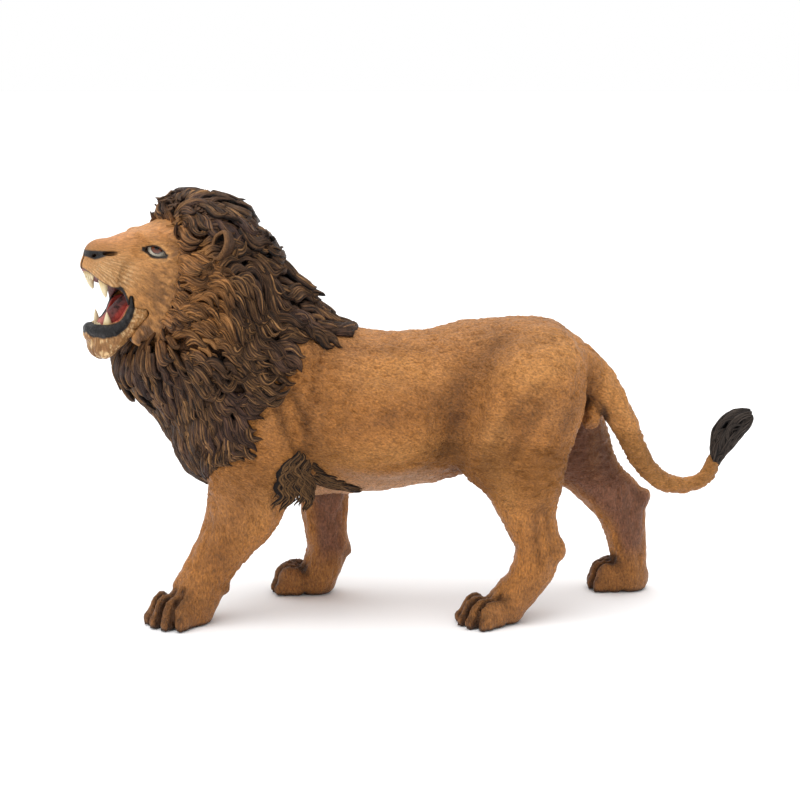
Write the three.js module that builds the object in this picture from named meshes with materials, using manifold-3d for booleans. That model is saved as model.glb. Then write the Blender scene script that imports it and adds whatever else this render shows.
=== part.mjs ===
// A walking, roaring lion: a solid moulded animal figurine with a full mane, a tufted tail and an open mouth.
// The lower jaw is a moulding of its own, glued into the mouth behind a parting line on the cheek.
//
// Millimetres, +Z up. The lion walks towards -X, its left side faces -Y, and its soles stand on Z = 0.
import * as THREE from 'three';
import { mergeVertices } from 'three/addons/utils/BufferGeometryUtils.js';
import Module from 'manifold-3d';

const wasm = await Module();
wasm.setup();

// Where the middle of the figurine's box lies in the coordinates that the tables below use.
const BOX_MIDDLE = new THREE.Vector3(5.04, 0.07, 0);

// Driving dimensions.
const HEAD_TURN = THREE.MathUtils.degToRad(27); // the head looks this far to the lion's left
const HEAD_PLACE = new THREE.Vector3(-50, 0, 0); // the point below the eyes that head sizes are taken from
const JAW_GAP = 0.3; // parting line round the jaw insert
const TIP_LIFT = 1.5; // how far the tip of a mane lock stands off the mane
const LOCK_RIDGE = 1.7; // how far a lock's crest stands over its edges
const LOCKS_ROUND = 12; // mane locks in each row round the neck
const LOCK_ROWS = 6; // rows of locks from the face back to the shoulders
const LOCK_REACH = 2; // a lock's length in steps from row to row
const LOCK_SWAY = 0.09; // how far round the neck a lock's wave takes it, in radians

// Tables of stations. Each row is a slice of the form: one edge (x, z), the opposite edge (x, z),
// then the y of its middle, its half width, how much wider it is towards the second edge and, where the slice
// isn't square to the lion's length, how far its +Y side is ahead of its middle, per millimetre of width.

// Upper edge, lower edge.
const TORSO = [
  [-50, 60, -50, 45, 0, 5, 0],
  [-44, 64, -48, 37, 0, 10.5, 0],
  [-36, 66.5, -43, 29, 0, 13, 0],
  [-26, 65.5, -32, 25.2, 0, 14.6, 0],
  [-17, 63.6, -20.5, 25.2, 0, 15, 0.06],
  [-10.7, 61.7, -11.5, 25.6, 0, 14.8, 0.1],
  [-3.2, 60.5, -2.6, 26.6, 0, 14.4, 0.12],
  [5.3, 60.8, 5, 27.7, 0, 13.2, 0.08],
  [13.5, 62.6, 12.5, 29.4, 0, 12.4, 0],
  [20.3, 63, 19, 32, 0, 12.8, -0.05],
  [28.5, 62, 28, 37, 0, 12.6, -0.08],
  [35, 60, 35, 43, 0, 10.2, -0.1],
  [39, 57.5, 38.6, 47, 0, 6.6, 0],
  [40.6, 54.5, 40.2, 50, 0, 3, 0],
];

// Back edge, front edge, from the shoulder or hip down to the foot.
const NEAR_FORELEG = [
  [-19, 54, -38, 53, -6, 6, 0],
  [-17.5, 46, -40.5, 44, -8, 7.4, 0],
  [-19.5, 37, -41, 36, -9.6, 7, 0],
  [-22.8, 27.5, -39.8, 29, -10.8, 6.2, 0],
  [-26.5, 20, -40.6, 23.5, -11.6, 5.4, 0],
  [-30.8, 15.2, -42.8, 18, -12.1, 4.9, 0],
  [-34.6, 11, -45, 13.5, -12.5, 4.7, 0],
  [-36.9, 8, -46.9, 10, -12.8, 4.8, 0],
  [-38.2, 4.6, -48.6, 6.6, -13, 5.1, 0],
  [-40, 1, -49.6, 2.6, -13, 5, 0],
];
const FAR_FORELEG = [
  [-15, 54, -34, 53, 6, 6, 0],
  [-12, 48, -35.5, 46, 8, 7.4, 0],
  [-11, 40, -32, 38, 9, 7, 0],
  [-10.8, 31, -26.5, 30, 10, 6.2, 0],
  [-11.4, 24, -22.7, 23.4, 10.6, 5.2, 0],
  [-11.6, 19, -21.9, 18.8, 11, 4.8, 0],
  [-12, 14.2, -21.2, 14.2, 11, 4.5, 0],
  [-11.5, 10.2, -20.8, 10.7, 11, 4.5, 0],
  [-12.7, 6.3, -21.6, 7.4, 11, 4.8, 0],
  [-14.6, 2, -22.5, 3, 11, 4.8, 0],
];
const NEAR_HINDLEG = [
  [34, 60, 20, 58.5, -4.6, 5, 0],
  [37.4, 55.6, 15.4, 53, -6.4, 7.2, 0],
  [38.6, 51.4, 13, 47.6, -7.8, 7.8, 0],
  [38.7, 46, 12.2, 42, -8.6, 7.8, 0],
  [37.5, 41, 13.8, 35.4, -9.6, 7.2, 0],
  [35.3, 35.6, 16.6, 30.2, -10.5, 6.3, 0],
  [33.6, 29.6, 19.6, 25.3, -11.2, 5.4, 0],
  [33, 24, 22.2, 20.4, -11.8, 4.6, 0],
  [33.2, 19.6, 23.9, 16.8, -12, 4.1, 0],
  [34, 15.3, 24.3, 13.6, -12, 4, 0],
  [32.6, 10.4, 23.4, 11.3, -12, 4.1, 0],
  [28.8, 4.8, 21, 8.4, -12.2, 4.3, 0],
  [25, 0.8, 18.6, 5.4, -12.5, 4.6, 0],
];
const FAR_HINDLEG = [
  [34, 60, 20, 58.5, 4.6, 5, 0],
  [38.4, 55.6, 15.4, 53, 6.4, 7.2, 0],
  [40.6, 51.6, 14.4, 47, 7.8, 7.8, 0],
  [42, 47, 16.5, 40, 8.8, 7.8, 0],
  [44.4, 41, 22, 33.2, 10.2, 7, 0],
  [46.6, 34.6, 29, 28, 11.6, 6.1, 0],
  [49.2, 28.5, 36.2, 24, 12.8, 5.2, 0],
  [53.2, 24.2, 41.4, 19.8, 13.4, 4.5, 0],
  [54.9, 19.4, 44.4, 16.4, 13.8, 4.1, 0],
  [55.1, 13.8, 46, 13, 14, 4, 0],
  [55.4, 9, 47.2, 9.4, 14, 4.1, 0],
  [55.2, 5, 47.4, 6, 14, 4.4, 0],
  [54.4, 1.4, 47.6, 2.4, 14, 4.6, 0],
];

// Upper edge, lower edge, from the rump to the tuft.
const TAIL = [
  [33, 60.6, 33, 50, 0, 4.2, 0],
  [41.2, 56.7, 36.6, 50.2, 0, 4.6, 0],
  [44.5, 53.2, 39, 47, 0, 4.6, 0],
  [47, 49.8, 41.4, 45.2, 0.2, 4, 0],
  [49, 46, 43.9, 42.3, 0.4, 3.6, 0],
  [50.9, 41.8, 45.9, 38.8, 0.7, 3.3, 0],
  [52.2, 37.9, 47.7, 35.5, 1, 3.1, 0],
  [53.7, 34.6, 49.7, 32.3, 1.4, 2.9, 0],
  [55.7, 31.3, 52.2, 28.8, 1.8, 2.7, 0],
  [58.3, 29, 56, 25.8, 2.2, 2.5, 0],
  [61.3, 28, 61.2, 24.5, 2.6, 2.2, 0],
  [64.2, 28.6, 65.9, 25.8, 2.8, 1.9, 0],
  [66, 30.3, 68.6, 28.1, 3, 1.7, 0],
  [67, 32.6, 69.4, 31.2, 3, 1.4, 0],
];
const TAIL_TUFT = [
  [67.2, 31.4, 69.4, 30.2, 3, 1.1, 0],
  [67.6, 33.4, 70, 31.8, 3, 1.7, 0],
  [67.7, 35.7, 71, 33.2, 3, 2.4, 0],
  [68.3, 38.9, 72.8, 35.6, 3, 2.8, 0],
  [70.7, 41.9, 74.4, 37.6, 3, 2.5, 0],
  [73.6, 43.2, 76, 39.4, 3, 1.9, 0],
  [76, 42.9, 77, 41, 3, 1, 0],
];

// Crown edge, throat edge, from the ring behind the face back to the shoulders.
const MANE = [
  [-46.8, 82, -51, 62, -1.4, 8.4, 0.1, 0.5],
  [-47.8, 87, -56.6, 54.8, -1.3, 12.9, 0.16, 0.5],
  [-43.4, 89.3, -55.8, 48.6, -0.9, 16.4, 0.2, 0.42],
  [-36.4, 87.4, -52.2, 43.8, -0.5, 18.2, 0.22, 0.3],
  [-30.2, 82, -48.8, 40, -0.2, 18.8, 0.18, 0.2],
  [-25.4, 74.6, -45.8, 36, 0, 18.4, 0.1, 0.1],
  [-20.4, 68.6, -43.4, 32, 0, 17, 0.04, 0.05],
  [-15.2, 63.8, -40.2, 29, 0, 15.6, 0, 0],
  [-10.5, 59.6, -33, 28.6, 0, 12.6, 0, 0],
];

// The head and jaw tables are in the head's own frame: x is minus the distance ahead of HEAD_PLACE.
const SKULL = [
  [12, 80, 10, 60, 0, 8, 0],
  [8, 84, 7, 55, 0, 12, 0],
  [3, 85.6, 3, 54, 0, 12, 0],
  [-0.6, 84.6, -1.2, 55, 0, 10.6, 0],
  [-3.6, 83.6, -4.6, 57, 0, 8.6, -0.04],
  [-6.4, 82.6, -7.2, 59.4, 0, 7.2, 0.04],
  [-8.6, 82, -9.4, 62.6, 0, 6.5, 0.08],
  [-10.8, 81.2, -11.6, 66, 0, 6, 0.12],
  [-13.2, 80.4, -14.2, 68.6, 0, 5.5, 0.16],
  [-15.2, 79.6, -16.4, 70.8, 0, 4.6, 0.16],
  [-16.2, 78.4, -17.6, 72.8, 0, 2.6, 0.1],
];
const JAW = [
  [-5.2, 66.8, -6.4, 64.6, 0, 7.2, 0],
  [-6.4, 68.8, -7.9, 62, 0, 7.8, 0],
  [-8.6, 70.2, -9.9, 59.2, 0, 7.4, 0],
  [-10.2, 69.6, -12, 57, 0, 6.6, 0],
  [-11.6, 66.4, -13.4, 56.2, 0, 5.9, 0],
  [-13.8, 64.8, -15, 56.2, 0, 5.2, 0],
  [-16, 64.3, -16.6, 57.4, 0, 3.9, 0],
  [-17, 63.2, -17.2, 59.6, 0, 2.2, 0],
];
const MOUTH_HOLLOW = [
  [-5.6, 69.4, -5.4, 62, 0, 3.2, 0],
  [-8.6, 71, -8.2, 60, 0, 4.6, 0],
  [-10.4, 71.6, -9.6, 58, 0, 5.6, 0],
  [-11.8, 72.2, -11, 56, 0, 8.2, 0],
  [-14, 73, -14.6, 52, 0, 9, 0],
  [-16, 74, -17, 50, 0, 9, 0],
  [-21, 75.6, -21, 50, 0, 9, 0],
];
const JAW_BASIN = [
  [-8, 74, -8, 62.2, 0, 5, 0],
  [-11, 73, -11, 61.8, 0, 4.9, 0],
  [-13.4, 71, -13.4, 61.8, 0, 4, 0],
  [-15.4, 69, -15.4, 62.4, 0, 2.4, 0],
];
const TONGUE = [
  [-8, 68.2, -8.4, 60, 0, 3.2, 0],
  [-10, 66.8, -10.2, 60, 0, 3.3, 0],
  [-12, 65.4, -12.2, 60, 0, 2.9, 0],
  [-14.2, 64, -14.2, 60.6, 0, 1.9, 0],
];

// A repeatable scatter between -1 and 1 for the n-th piece.
function scatter(n) {
  const s = Math.sin(n * 127.1 + 11.7) * 43758.5453;
  return 2 * (s - Math.floor(s)) - 1;
}

// Catmull-Rom value between b and c.
function between(a, b, c, d, t) {
  return 0.5 * (2 * b + (c - a) * t + (2 * a - 5 * b + 4 * c - d) * t * t + (3 * b - a - 3 * c + d) * t * t * t);
}

// The station of a table at u, from 0 at its first row to 1 at its last.
function stationAt(table, u) {
  const place = Math.min(Math.max(u, 0), 1) * (table.length - 1);
  const i = Math.min(Math.floor(place), table.length - 2);
  const row = (k) => table[Math.min(Math.max(k, 0), table.length - 1)];
  return table[0].map((_, c) => between(row(i - 1)[c], row(i)[c], row(i + 1)[c], row(i + 2)[c], place - i));
}

// The point of a form at u along its table and angle v, which runs from its first edge (0) round by -Y.
function pointOn(table, u, v) {
  const [ax, az, bx, bz, y, half, spread, turn = 0] = stationAt(table, u);
  const c = Math.cos(v);
  const across = -half * (1 - spread * c) * Math.sin(v);
  const x = (ax + bx) / 2 + ((ax - bx) / 2) * c - turn * across;
  return new THREE.Vector3(x, y + across, (az + bz) / 2 + ((az - bz) / 2) * c);
}

// Closed skin over rings of points, each ring with the same count, with a point in the middle of each end.
function skin(rings, tip) {
  const positions = [];
  const index = [];
  const count = rings[0].length;
  const middle = (ring) => ring.reduce((sum, p) => sum.add(p), new THREE.Vector3()).divideScalar(ring.length);
  for (const p of [middle(rings[0]), ...rings.flat(), tip ?? middle(rings.at(-1))]) positions.push(p.x, p.y, p.z);
  const at = (ring, k) => 1 + ring * count + (k % count);
  const last = rings.length * count + 1;
  for (let k = 0; k < count; k++) {
    index.push(0, at(0, k), at(0, k + 1));
    for (let r = 0; r + 1 < rings.length; r++) {
      index.push(at(r, k), at(r + 1, k), at(r + 1, k + 1));
      index.push(at(r, k), at(r + 1, k + 1), at(r, k + 1));
    }
    index.push(last, at(rings.length - 1, k + 1), at(rings.length - 1, k));
  }
  return new THREE.BufferGeometry()
    .setAttribute('position', new THREE.Float32BufferAttribute(positions, 3))
    .setIndex(index);
}

// A table's form as a geometry, with this many rings and sides.
function form(table, ringCount, sides) {
  const rings = [];
  for (let r = 0; r < ringCount; r++) {
    const u = r / (ringCount - 1);
    rings.push(Array.from({ length: sides }, (_, k) => pointOn(table, u, (k / sides) * 2 * Math.PI)));
  }
  return skin(rings);
}

// A geometry as a manifold-3d solid with its faces pointing outwards.
function solid(geometry) {
  const bare = geometry.clone();
  for (const name of ['normal', 'uv']) if (bare.getAttribute(name)) bare.deleteAttribute(name);
  const merged = mergeVertices(bare, 1e-4);
  const build = (triVerts) =>
    new wasm.Manifold(new wasm.Mesh({ numProp: 3, vertProperties: merged.attributes.position.array, triVerts }));
  const made = build(new Uint32Array(merged.index.array));
  return made.volume() > 0 ? made : build(new Uint32Array(merged.index.array).reverse());
}

const joined = (solids) => solids.reduce((all, s) => all.add(s));

// An egg of three radii, turned about Z and Y and placed.
function egg([x, y, z], [rx, ry, rz], turn = 0, tilt = 0, fine = 8) {
  const g = new THREE.SphereGeometry(1, fine, Math.max(5, Math.round(fine * 0.7)));
  g.scale(rx, ry, rz).rotateY(tilt).rotateZ(turn).translate(x, y, z);
  return solid(g);
}

// A lock of hair. pathAt(q) gives its middle line from root (0) to tip (1), outAt(q) the way out of the skin.
function lock(pathAt, outAt, width, thick) {
  const shape = [[0, 0.55, 0.5], [0.4, 1, 1], [0.75, 0.72, 1]];
  const frame = (q) => {
    const p = pathAt(q);
    const out = outAt(q);
    const along = pathAt(Math.min(q + 0.05, 1)).sub(pathAt(Math.max(q - 0.05, 0)));
    return { p, out, side: new THREE.Vector3().crossVectors(along, out).normalize() };
  };
  const rings = shape.map(([q, w, t]) => {
    const { p, out, side } = frame(q);
    const half = (w * width) / 2;
    const to = (across, up) => p.clone().addScaledVector(side, across).addScaledVector(out, up);
    return [to(-half, -0.35 * thick), to(0, t * thick), to(half, -0.35 * thick), to(0, -thick)];
  });
  return skin(rings, pathAt(1));
}

// How far the mane's carved locks stand out at a place of its pattern: rows of overlapping pointed locks,
// each row set half a lock round from the last, each lock rising from its root to its tip.
function carvedHair(along, round) {
  let height = 0;
  for (let row = 0; row < LOCK_ROWS; row++) {
    const turns = (round / (2 * Math.PI)) * LOCKS_ROUND + 0.5 * (row % 2);
    const k = Math.floor(turns + 1e-6);
    const n = row * LOCKS_ROUND + (k % LOCKS_ROUND);
    const q = (along - row) / LOCK_REACH;
    const across = 2 * (turns - k) - 1;
    const body = 1 - Math.abs(across) / (1.25 - 0.95 * q * q);
    if (q < 0 || q > 1 || body <= 0) continue;
    const lift = TIP_LIFT * q * (1 + 0.3 * scatter(n)) * Math.min(1, 0.3 + 0.4 * row);
    height = Math.max(height, lift + LOCK_RIDGE * Math.sqrt(body));
  }
  return height;
}

// The mane: its own form with the carved locks standing out of it, which sway as they run back.
function mane() {
  const sides = LOCKS_ROUND * 4;
  const steps = [0.04, 0.5, 0.94];
  const rings = [];
  for (let row = 0; row < LOCK_ROWS + 1; row++) {
    for (const step of steps) {
      const along = row + step;
      const ring = [];
      for (let k = 0; k < sides; k++) {
        const round = (k / sides) * 2 * Math.PI;
        const u = (along + 0.22 * Math.sin(3 * round + along)) / (LOCK_ROWS + 1);
        const v = round + LOCK_SWAY * Math.sin(along * 1.9 + 2 * Math.sin(round * 2));
        ring.push(pointOn(MANE, u, v).addScaledVector(outOf(MANE, u, v), carvedHair(along, round)));
      }
      rings.push(ring);
    }
  }
  return skin(rings);
}

// The way out of a form's skin at u, v.
function outOf(table, u, v) {
  const step = 0.01;
  const alongU = pointOn(table, u + step, v).sub(pointOn(table, u - step, v));
  const alongV = pointOn(table, u, v + step).sub(pointOn(table, u, v - step));
  return alongV.cross(alongU).normalize();
}

// A paw on the floor: pad, four toes with knuckles, pointing forward and turned towards -Y by turn.
function paw(x, y, length, width, height, turn) {
  const pieces = [egg([0, 0, height * 0.36], [length * 0.46, width * 0.47, height * 0.6], 0, 0, 7)];
  const spread = [-0.36, -0.13, 0.13, 0.36];
  spread.forEach((s, k) => {
    const reach = k === 0 || k === 3 ? 0.24 : 0.34;
    const toe = [-length * reach, s * width * 1.02, height * 0.36];
    pieces.push(egg(toe, [length * 0.3, width * 0.16, height * 0.5], s * 0.5, -0.25, 6));
  });
  return joined(pieces).rotate([0, 0, THREE.MathUtils.radToDeg(turn)]).translate([x, y, 0]);
}

const inHead = new THREE.Matrix4().makeTranslation(HEAD_PLACE).multiply(new THREE.Matrix4().makeRotationZ(HEAD_TURN));
const headSolid = (geometry) => solid(geometry.applyMatrix4(inHead));
const headEgg = (place, radii, turn, tilt, fine) => egg(place, radii, turn, tilt, fine).transform(inHead.elements);

// A curved tooth from its root to its tip.
function tooth([x, y, z], long, thick, back) {
  const rings = [0, 0.45, 0.8].map((q) => {
    const radius = thick * (1 - 0.75 * q);
    return Array.from({ length: 6 }, (_, k) => {
      const a = (k / 6) * 2 * Math.PI;
      return new THREE.Vector3(x + back * q * q + radius * Math.cos(a), y + radius * Math.sin(a), z + long * q);
    });
  });
  return skin(rings, new THREE.Vector3(x + back, y, z + long));
}

function upperHead() {
  const pieces = [headSolid(form(SKULL, 14, 14))];
  for (const side of [-1, 1]) {
    pieces.push(headEgg([-13.2, side * 3.3, 74.3], [4.7, 2.7, 3.3], side * 0.3, 0.5, 10)); // whisker pad
    pieces.push(headEgg([-15.6, side * 1.9, 74.6], [2.7, 2, 2.7], side * 0.5, 0.3)); // its front
    pieces.push(headEgg([-4.4, side * 4.5, 81], [3.3, 1.9, 1.5], side * 0.6, 0.3)); // brow
    pieces.push(headEgg([-0.5, side * 6.6, 74], [6, 3, 4.6], side * 0.3, 0.3)); // cheek bone
    pieces.push(headEgg([-4.4, side * 4.5, 64.6], [7, 3.7, 7.2], side * 0.1, 0.2, 10)); // cheek beside the jaw
    pieces.push(headEgg([6.4, side * 14.4, 79.2], [1.9, 2.4, 3.8], side * -0.5, -0.3)); // ear
    pieces.push(headEgg([-3.7, side * 5.7, 78.1], [1.6, 1.2, 1.1], side * 0.6, 0)); // eye
  }
  pieces.push(headEgg([-9.8, 0, 79], [7.2, 3, 1.9], 0, -0.17)); // bridge
  pieces.push(headEgg([-15.6, 0, 78.2], [1.7, 2.5, 1.4], 0, 0.35)); // nose pad
  return joined(pieces);
}

function upperTeeth() {
  const teeth = [-1, 1].map((side) => headSolid(tooth([-15.2, side * 3.4, 74.4], -4.8, 1.1, 0.6)));
  for (const side of [-1.5, -0.5, 0.5, 1.5]) {
    teeth.push(headSolid(tooth([-16.8, side * 1, 74.4], -1.8, 0.6, 0)));
  }
  return teeth;
}

function lowerJaw() {
  const shell = headSolid(form(JAW, 10, 12)).subtract(headSolid(form(JAW_BASIN, 6, 10)));
  const teeth = [-1, 1].map((side) => headSolid(tooth([-13.9, side * 3, 61.8], 3.9, 1.2, -0.1)));
  return joined([shell, headSolid(form(TONGUE, 6, 8)), ...teeth]);
}

// The jaw's outline grown all round by the gap, which is cut out of the head.
function jawSeat() {
  const grow = [0, JAW_GAP, 0, -JAW_GAP, 0, JAW_GAP, 0];
  const grown = JAW.map((row) => row.map((value, c) => value + grow[c]));
  grown[0] = grown[0].map((value, c) => (c === 0 || c === 2 ? value + JAW_GAP : value));
  return headSolid(form(grown, 10, 12));
}

// The tuft behind an elbow, which hangs from the place given, and the fringe that runs from it along the belly.
function bellyHair([x, y, z], side) {
  const locks = [];
  for (let k = 0; k < 3; k++) {
    const root = new THREE.Vector3(x + 1.6 * k, y - side * 0.9 * k, z);
    const hang = (q) => new THREE.Vector3(1.6 * Math.sin(3 * q) - 1.4 * q, 0, (-11.5 + 2.6 * k) * q);
    locks.push(lock((q) => root.clone().add(hang(q)), () => new THREE.Vector3(0.5, side, 0).normalize(), 3.4, 1.3));
  }
  for (let k = 0; k < 4; k++) {
    const u = 0.29 + 0.036 * k;
    const v = side * (-2.2 - 0.12 * k);
    const out = outOf(TORSO, u, v);
    const root = pointOn(TORSO, u, v);
    const trail = (q) => new THREE.Vector3(6 * q, 0, -1.6 * Math.sin(2.2 * q)).addScaledVector(out, 0.3 + 0.4 * q);
    locks.push(lock((q) => root.clone().add(trail(q)), () => out.clone(), 3.4, 0.9));
  }
  return locks.map(solid);
}

function tailTuft() {
  const locks = [];
  for (let k = 0; k < 6; k++) {
    const v = (k / 6) * 2 * Math.PI;
    const start = 0.1 + 0.25 * (k % 2);
    const out = (q) => outOf(TAIL_TUFT, start + 0.6 * q, v);
    const path = (q) => pointOn(TAIL_TUFT, start + 0.6 * q, v + 0.4 * q).addScaledVector(out(q), 0.15);
    locks.push(lock(path, out, 2.4, 0.5));
  }
  return [solid(form(TAIL_TUFT, 8, 8)), ...locks.map(solid)];
}

function lion() {
  const trunk = [
    solid(form(TORSO, 15, 16)),
    solid(form(TAIL, 17, 8)),
    egg([-24, -10.5, 49], [8, 5.2, 12], 0, 0.2, 9), // shoulder blades
    egg([-22, 10.5, 49], [8, 5.2, 12], 0, 0.2, 9),
    egg([41, -1.2, 42.8], [2, 3.4, 3.4]),
  ];
  const tables = [NEAR_FORELEG, FAR_FORELEG, NEAR_HINDLEG, FAR_HINDLEG];
  const legs = tables.map((table) => solid(form(table, table.length + 1, 9)));
  const paws = [
    paw(-46, -13.4, 13, 10.6, 7.6, 0.45),
    paw(-20.6, 11.2, 12.4, 10, 7.6, -0.1),
    paw(20, -12.9, 13.4, 10.2, 6.8, 0.4),
    paw(50.4, 14.2, 12.4, 10, 7.6, -0.05),
    egg([-36.9, -12.4, 7.8], [1.1, 1.6, 1.5], 0, 0, 6), // carpal pads
    egg([-11.6, 11, 9.6], [1.1, 1.6, 1.5], 0, 0, 6),
  ];
  const hair = [solid(mane()), ...bellyHair([-24.4, -14.6, 34.5], -1), ...bellyHair([-13.6, 13.2, 33], 1), ...tailTuft()];
  const face = upperHead().subtract(headSolid(form(MOUTH_HOLLOW, 9, 12)));
  const floor = solid(new THREE.BoxGeometry(400, 200, 20).translate(0, 0, -10));
  const whole = joined([...trunk, ...legs, ...paws, ...hair]);
  return joined([whole.subtract(headSolid(form(MOUTH_HOLLOW, 9, 12))), face])
    .subtract(jawSeat())
    .add(joined(upperTeeth()))
    .subtract(floor);
}

// The triangles of a mesh's outer shell, without the shells of pockets that are closed in between locks.
function outerShell({ vertProperties, triVerts }) {
  const parent = Array.from({ length: vertProperties.length / 3 }, (_, i) => i);
  const find = (a) => {
    while (parent[a] !== a) a = parent[a] = parent[parent[a]];
    return a;
  };
  for (let t = 0; t < triVerts.length; t += 3) {
    parent[find(triVerts[t])] = find(triVerts[t + 1]);
    parent[find(triVerts[t + 1])] = find(triVerts[t + 2]);
  }
  const shells = new Map();
  for (let t = 0; t < triVerts.length; t += 3) {
    const root = find(triVerts[t]);
    if (!shells.has(root)) shells.set(root, []);
    shells.get(root).push(triVerts[t], triVerts[t + 1], triVerts[t + 2]);
  }
  return [...shells.values()].reduce((largest, shell) => (shell.length > largest.length ? shell : largest));
}

// A solid as a named mesh.
function meshOf(made, name, colour, roughness) {
  const { vertProperties, triVerts } = made.getMesh();
  const geometry = new THREE.BufferGeometry()
    .setAttribute('position', new THREE.Float32BufferAttribute(vertProperties, 3))
    .setIndex(outerShell({ vertProperties, triVerts }));
  geometry.computeVertexNormals();
  const mesh = new THREE.Mesh(geometry, new THREE.MeshStandardMaterial({ color: colour, roughness, metalness: 0 }));
  mesh.name = name;
  return mesh;
}

const figurine = new THREE.Group();
figurine.add(meshOf(lion(), 'lion_body', 0xa8713a, 0.55));
figurine.add(meshOf(lowerJaw(), 'lower_jaw', 0xb98a52, 0.5));
figurine.position.copy(BOX_MIDDLE).negate();

export default figurine;
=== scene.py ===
"""Looks of a walking, roaring lion: a solid moulded animal figurine, airbrushed and dry-brushed by hand.

Every form is worked out in millimetres in the sculptor's own coordinates (the lion walks towards -X, its left
side faces -Y, its soles are on Z = 0) and is moved into the frame's metres when it becomes a mesh.
"""

import logging
import math
from dataclasses import dataclass
from enum import Enum
from typing import Callable

import bpy
import numpy as np
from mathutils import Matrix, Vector

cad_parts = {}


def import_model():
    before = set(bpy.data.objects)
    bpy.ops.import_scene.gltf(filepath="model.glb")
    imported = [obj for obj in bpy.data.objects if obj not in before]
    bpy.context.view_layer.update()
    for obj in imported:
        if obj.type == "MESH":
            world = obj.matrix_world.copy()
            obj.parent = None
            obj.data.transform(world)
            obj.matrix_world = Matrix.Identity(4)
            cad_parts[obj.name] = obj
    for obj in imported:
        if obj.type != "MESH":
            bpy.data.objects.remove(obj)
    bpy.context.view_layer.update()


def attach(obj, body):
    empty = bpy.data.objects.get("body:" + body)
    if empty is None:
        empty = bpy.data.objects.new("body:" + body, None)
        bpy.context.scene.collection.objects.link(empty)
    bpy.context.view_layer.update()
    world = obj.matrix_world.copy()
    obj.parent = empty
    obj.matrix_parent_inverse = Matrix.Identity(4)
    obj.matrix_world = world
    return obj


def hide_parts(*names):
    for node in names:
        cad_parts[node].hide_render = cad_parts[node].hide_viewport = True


logging.basicConfig(level=logging.INFO, format="%(message)s")
LOG = logging.getLogger("lion")

Array = np.ndarray
Form = Callable[[Array], Array]  # a distance field: millimetres outside a form, negative inside
Socket = bpy.types.NodeSocket

MM = 0.001
BOX_MIDDLE = np.array([5.04, 0.07, 0.0])  # the middle of the CAD box in the sculptor's coordinates
HEAD_TURN = math.radians(27)  # the head looks this far to the lion's left
HEAD_PLACE = np.array([-50.0, 0.0, 0.0])

# Stations: one edge (x, z), the opposite edge (x, z), y of the middle and half width. Some tables go on with how
# much wider it is towards the second edge, and how far its +Y side is ahead of its middle for each mm of width.
TORSO = [
    [-50, 60, -50, 45, 0, 5, 0, 0],
    [-44, 64, -48, 37, 0, 10.5, 0, 0],
    [-36, 66.5, -43, 29, 0, 13, 0, 0],
    [-26, 65.5, -32, 25.2, 0, 14.6, 0, 0],
    [-17, 63.6, -20.5, 25.2, 0, 15, 0.06, 0],
    [-10.7, 61.7, -11.5, 25.6, 0, 14.8, 0.1, 0],
    [-3.2, 60.5, -2.6, 26.6, 0, 14.4, 0.12, 0],
    [5.3, 60.8, 5, 27.7, 0, 13.2, 0.08, 0],
    [13.5, 62.6, 12.5, 29.4, 0, 12.4, 0, 0],
    [20.3, 63, 19, 32, 0, 12.8, -0.05, 0],
    [28.5, 62, 28, 37, 0, 12.6, -0.08, 0],
    [35, 60, 35, 43, 0, 10.2, -0.1, 0],
    [39, 57.5, 38.6, 47, 0, 6.6, 0, 0],
    [40.6, 54.5, 40.2, 50, 0, 3, 0, 0],
]
NEAR_FORELEG = [
    [-19, 54, -38, 53, -6, 6],
    [-17.5, 46, -40.5, 44, -8, 7.4],
    [-19.5, 37, -41, 36, -9.6, 7],
    [-22.8, 27.5, -39.8, 29, -10.8, 6.2],
    [-26.5, 20, -40.6, 23.5, -11.6, 5.4],
    [-30.8, 15.2, -42.8, 18, -12.1, 4.9],
    [-34.6, 11, -45, 13.5, -12.5, 4.7],
    [-36.9, 8, -46.9, 10, -12.8, 4.8],
    [-38.2, 4.6, -48.6, 6.6, -13, 5.1],
    [-40, 1, -49.6, 2.6, -13, 5],
]
FAR_FORELEG = [
    [-15, 54, -34, 53, 6, 6],
    [-12, 48, -35.5, 46, 8, 7.4],
    [-11, 40, -32, 38, 9, 7],
    [-10.8, 31, -26.5, 30, 10, 6.2],
    [-11.4, 24, -22.7, 23.4, 10.6, 5.2],
    [-11.6, 19, -21.9, 18.8, 11, 4.8],
    [-12, 14.2, -21.2, 14.2, 11, 4.5],
    [-11.5, 10.2, -20.8, 10.7, 11, 4.5],
    [-12.7, 6.3, -21.6, 7.4, 11, 4.8],
    [-14.6, 2, -22.5, 3, 11, 4.8],
]
NEAR_HINDLEG = [
    [34, 60, 20, 58.5, -4.6, 5],
    [37.4, 55.6, 15.4, 53, -6.4, 7.2],
    [38.6, 51.4, 13, 47.6, -7.8, 7.8],
    [38.7, 46, 12.2, 42, -8.6, 7.8],
    [37.5, 41, 13.8, 35.4, -9.6, 7.2],
    [35.3, 35.6, 16.6, 30.2, -10.5, 6.3],
    [33.6, 29.6, 19.6, 25.3, -11.2, 5.4],
    [33, 24, 22.2, 20.4, -11.8, 4.6],
    [33.2, 19.6, 23.9, 16.8, -12, 4.1],
    [34, 15.3, 24.3, 13.6, -12, 4],
    [32.6, 10.4, 23.4, 11.3, -12, 4.1],
    [28.8, 4.8, 21, 8.4, -12.2, 4.3],
    [25, 0.8, 18.6, 5.4, -12.5, 4.6],
]
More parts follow.
